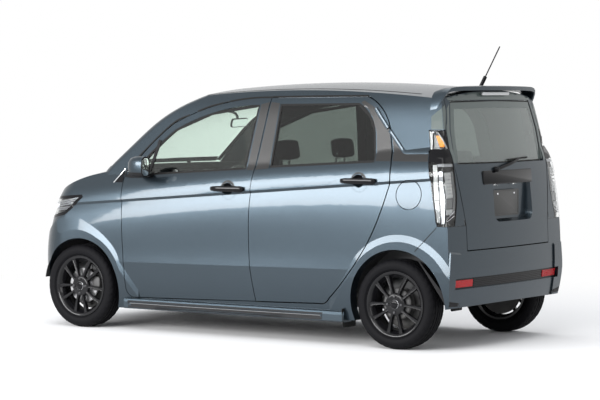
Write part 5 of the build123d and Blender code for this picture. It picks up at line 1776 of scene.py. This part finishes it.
class WAGON_OT_stage(bpy.types.Operator):
    """Set up the floor, the soft studio light and the camera"""
    bl_idname = "wagon.stage"
    bl_label = "Set up stage"

    def execute(self, context):
        stage = context.scene.wagon_stage
        mesh = bmesh.new()
        for x, y in ((-1, -1), (1, -1), (1, 1), (-1, 1)):
            mesh.verts.new((x * FLOOR_REACH, y * FLOOR_REACH, 0))
        mesh.faces.new(mesh.verts[:])
        data = bpy.data.meshes.new("studio_floor")
        mesh.to_mesh(data)
        mesh.free()
        floor = bpy.data.objects.new("studio_floor", data)
        context.collection.objects.link(floor)
        context.scene.view_settings.view_transform = "Standard"
        material = bpy.data.materials.new("Studio Floor")
        material.use_nodes = True
        tree = Tree(material.node_tree)
        shader = material.node_tree.nodes["Principled BSDF"]
        place = tree.add("TexCoord").outputs["Object"]
        tone = stage.floor_tone
        tree.link(tree.mix(tree.noise(place, 40), (tone * 0.99,) * 3, (min(1, tone * 1.01),) * 3),
                  shader.inputs["Base Color"])
        shader.inputs["Roughness"].default_value = 0.85
        shader.inputs["Specular IOR Level"].default_value = 0.1
        # Away from the car the floor turns into the plain white backdrop
        reach = tree.add("VectorMath", operation="LENGTH")
        tree.link(place, reach.inputs[0])
        fade = tree.remap(reach.outputs["Value"], 0, 1, *FADE, interpolation_type="SMOOTHSTEP")
        tree.choose(tree.math("MULTIPLY", fade, seen_ray(tree)), shader, tree.add("Emission"),
                    "Material Output")
        data.materials.append(material)
        self.world(context)
        self.lights(context, stage)
        self.camera(context)
        return {"FINISHED"}

    def world(self, context):
        """White for what the camera sees, and a soft sky for the light."""
        world = bpy.data.worlds.new("Studio")
        context.scene.world = world
        world.use_nodes = True
        tree = Tree(world.node_tree)
        soft = world.node_tree.nodes["Background"]
        soft.inputs["Color"].default_value = (0.94, 0.96, 1.0, 1)
        soft.inputs["Strength"].default_value = 0.7
        white = tree.add("Background")
        white.inputs["Color"].default_value = (1, 1, 1, 1)
        white.inputs["Strength"].default_value = 1
        tree.choose(seen_ray(tree), soft, white, "World Output")

    def lights(self, context, stage):
        # columns: name, width, length, share of the key power, place, aim
        for name, width, length, share, place, aim in (
                ("Key", 6, 4, 0.50, (2.5, -6.5, 6.5), (0.2, 0, 0.6)),
                ("Side", 7.9, 2.1, 1.9, (-2.95, -8.0, 2.4), (-0.5, 0, 1.1)),
                ("Tail", 1.6, 3, 0.10, (7.5, -3.4, 2.6), (1.5, 0, 0.9)),
                ("Top", 8, 8, 0.6, (0, 2, 9), (0, 0, 0))):
            light = bpy.data.lights.new(name, "AREA")
            light.shape = "RECTANGLE"
            light.size = width
            light.size_y = length
            light.energy = stage.key_power * share
            thing = bpy.data.objects.new(name, light)
            thing.location = place
            thing.rotation_euler = (Vector(aim) - Vector(place)).to_track_quat("-Z", "Y").to_euler()
            context.collection.objects.link(thing)

    def camera(self, context):
        data = bpy.data.cameras.new("Camera")
        data.sensor_width = 36
        data.lens = LENS
        data.clip_end = 200
        thing = bpy.data.objects.new("Camera", data)
        turn, rise = math.radians(AZIMUTH), math.radians(ELEVATION)
        away = Vector((math.sin(turn) * math.cos(rise), -math.cos(turn) * math.cos(rise), math.sin(rise)))
        target = point(*LOOK_AT)
        thing.location = target + away * CAMERA_DISTANCE * MM
        thing.rotation_euler = (-away).to_track_quat("-Z", "Y").to_euler()
        context.collection.objects.link(thing)
        context.scene.camera = thing


# ---------------------------------------------------------------- panel and registration


ORDER = (WAGON_OT_finishes, WAGON_OT_panels, WAGON_OT_glazing, WAGON_OT_pillars, WAGON_OT_handles,
         WAGON_OT_mirrors, WAGON_OT_tyres, WAGON_OT_rims, WAGON_OT_wheel_trim, WAGON_OT_lamps,
         WAGON_OT_tail_trim, WAGON_OT_nose_trim, WAGON_OT_side_trim, WAGON_OT_lining, WAGON_OT_dashboard,
         WAGON_OT_seats, WAGON_OT_roof_trim, WAGON_OT_stage)
SETTINGS = {"wagon_paint": PaintSettings, "wagon_glass": GlassSettings, "wagon_wheels": WheelSettings,
            "wagon_cabin": CabinSettings, "wagon_stage": StageSettings}


class WAGON_PT_finish(bpy.types.Panel):
    """Settings and steps, in the order they are run"""
    bl_idname = "WAGON_PT_finish"
    bl_label = "Tall Wagon"
    bl_space_type = "VIEW_3D"
    bl_region_type = "UI"
    bl_category = "Wagon"

    def draw(self, context):
        for key, settings in SETTINGS.items():
            box = self.layout.box()
            for name in settings.__annotations__:
                box.prop(getattr(context.scene, key), name)
        for step in ORDER:
            self.layout.operator(step.bl_idname)


CLASSES = (*SETTINGS.values(), *ORDER, WAGON_PT_finish)


def register():
    for kind in CLASSES:
        bpy.utils.register_class(kind)
    for key, settings in SETTINGS.items():
        setattr(bpy.types.Scene, key, bpy.props.PointerProperty(type=settings))


def unregister():
    for key in SETTINGS:
        delattr(bpy.types.Scene, key)
    for kind in reversed(CLASSES):
        bpy.utils.unregister_class(kind)


def main():
    register()
    for step in ORDER:
        group, name = step.bl_idname.split(".")
        getattr(getattr(bpy.ops, group), name)()


if __name__ == "__main__":
    main()
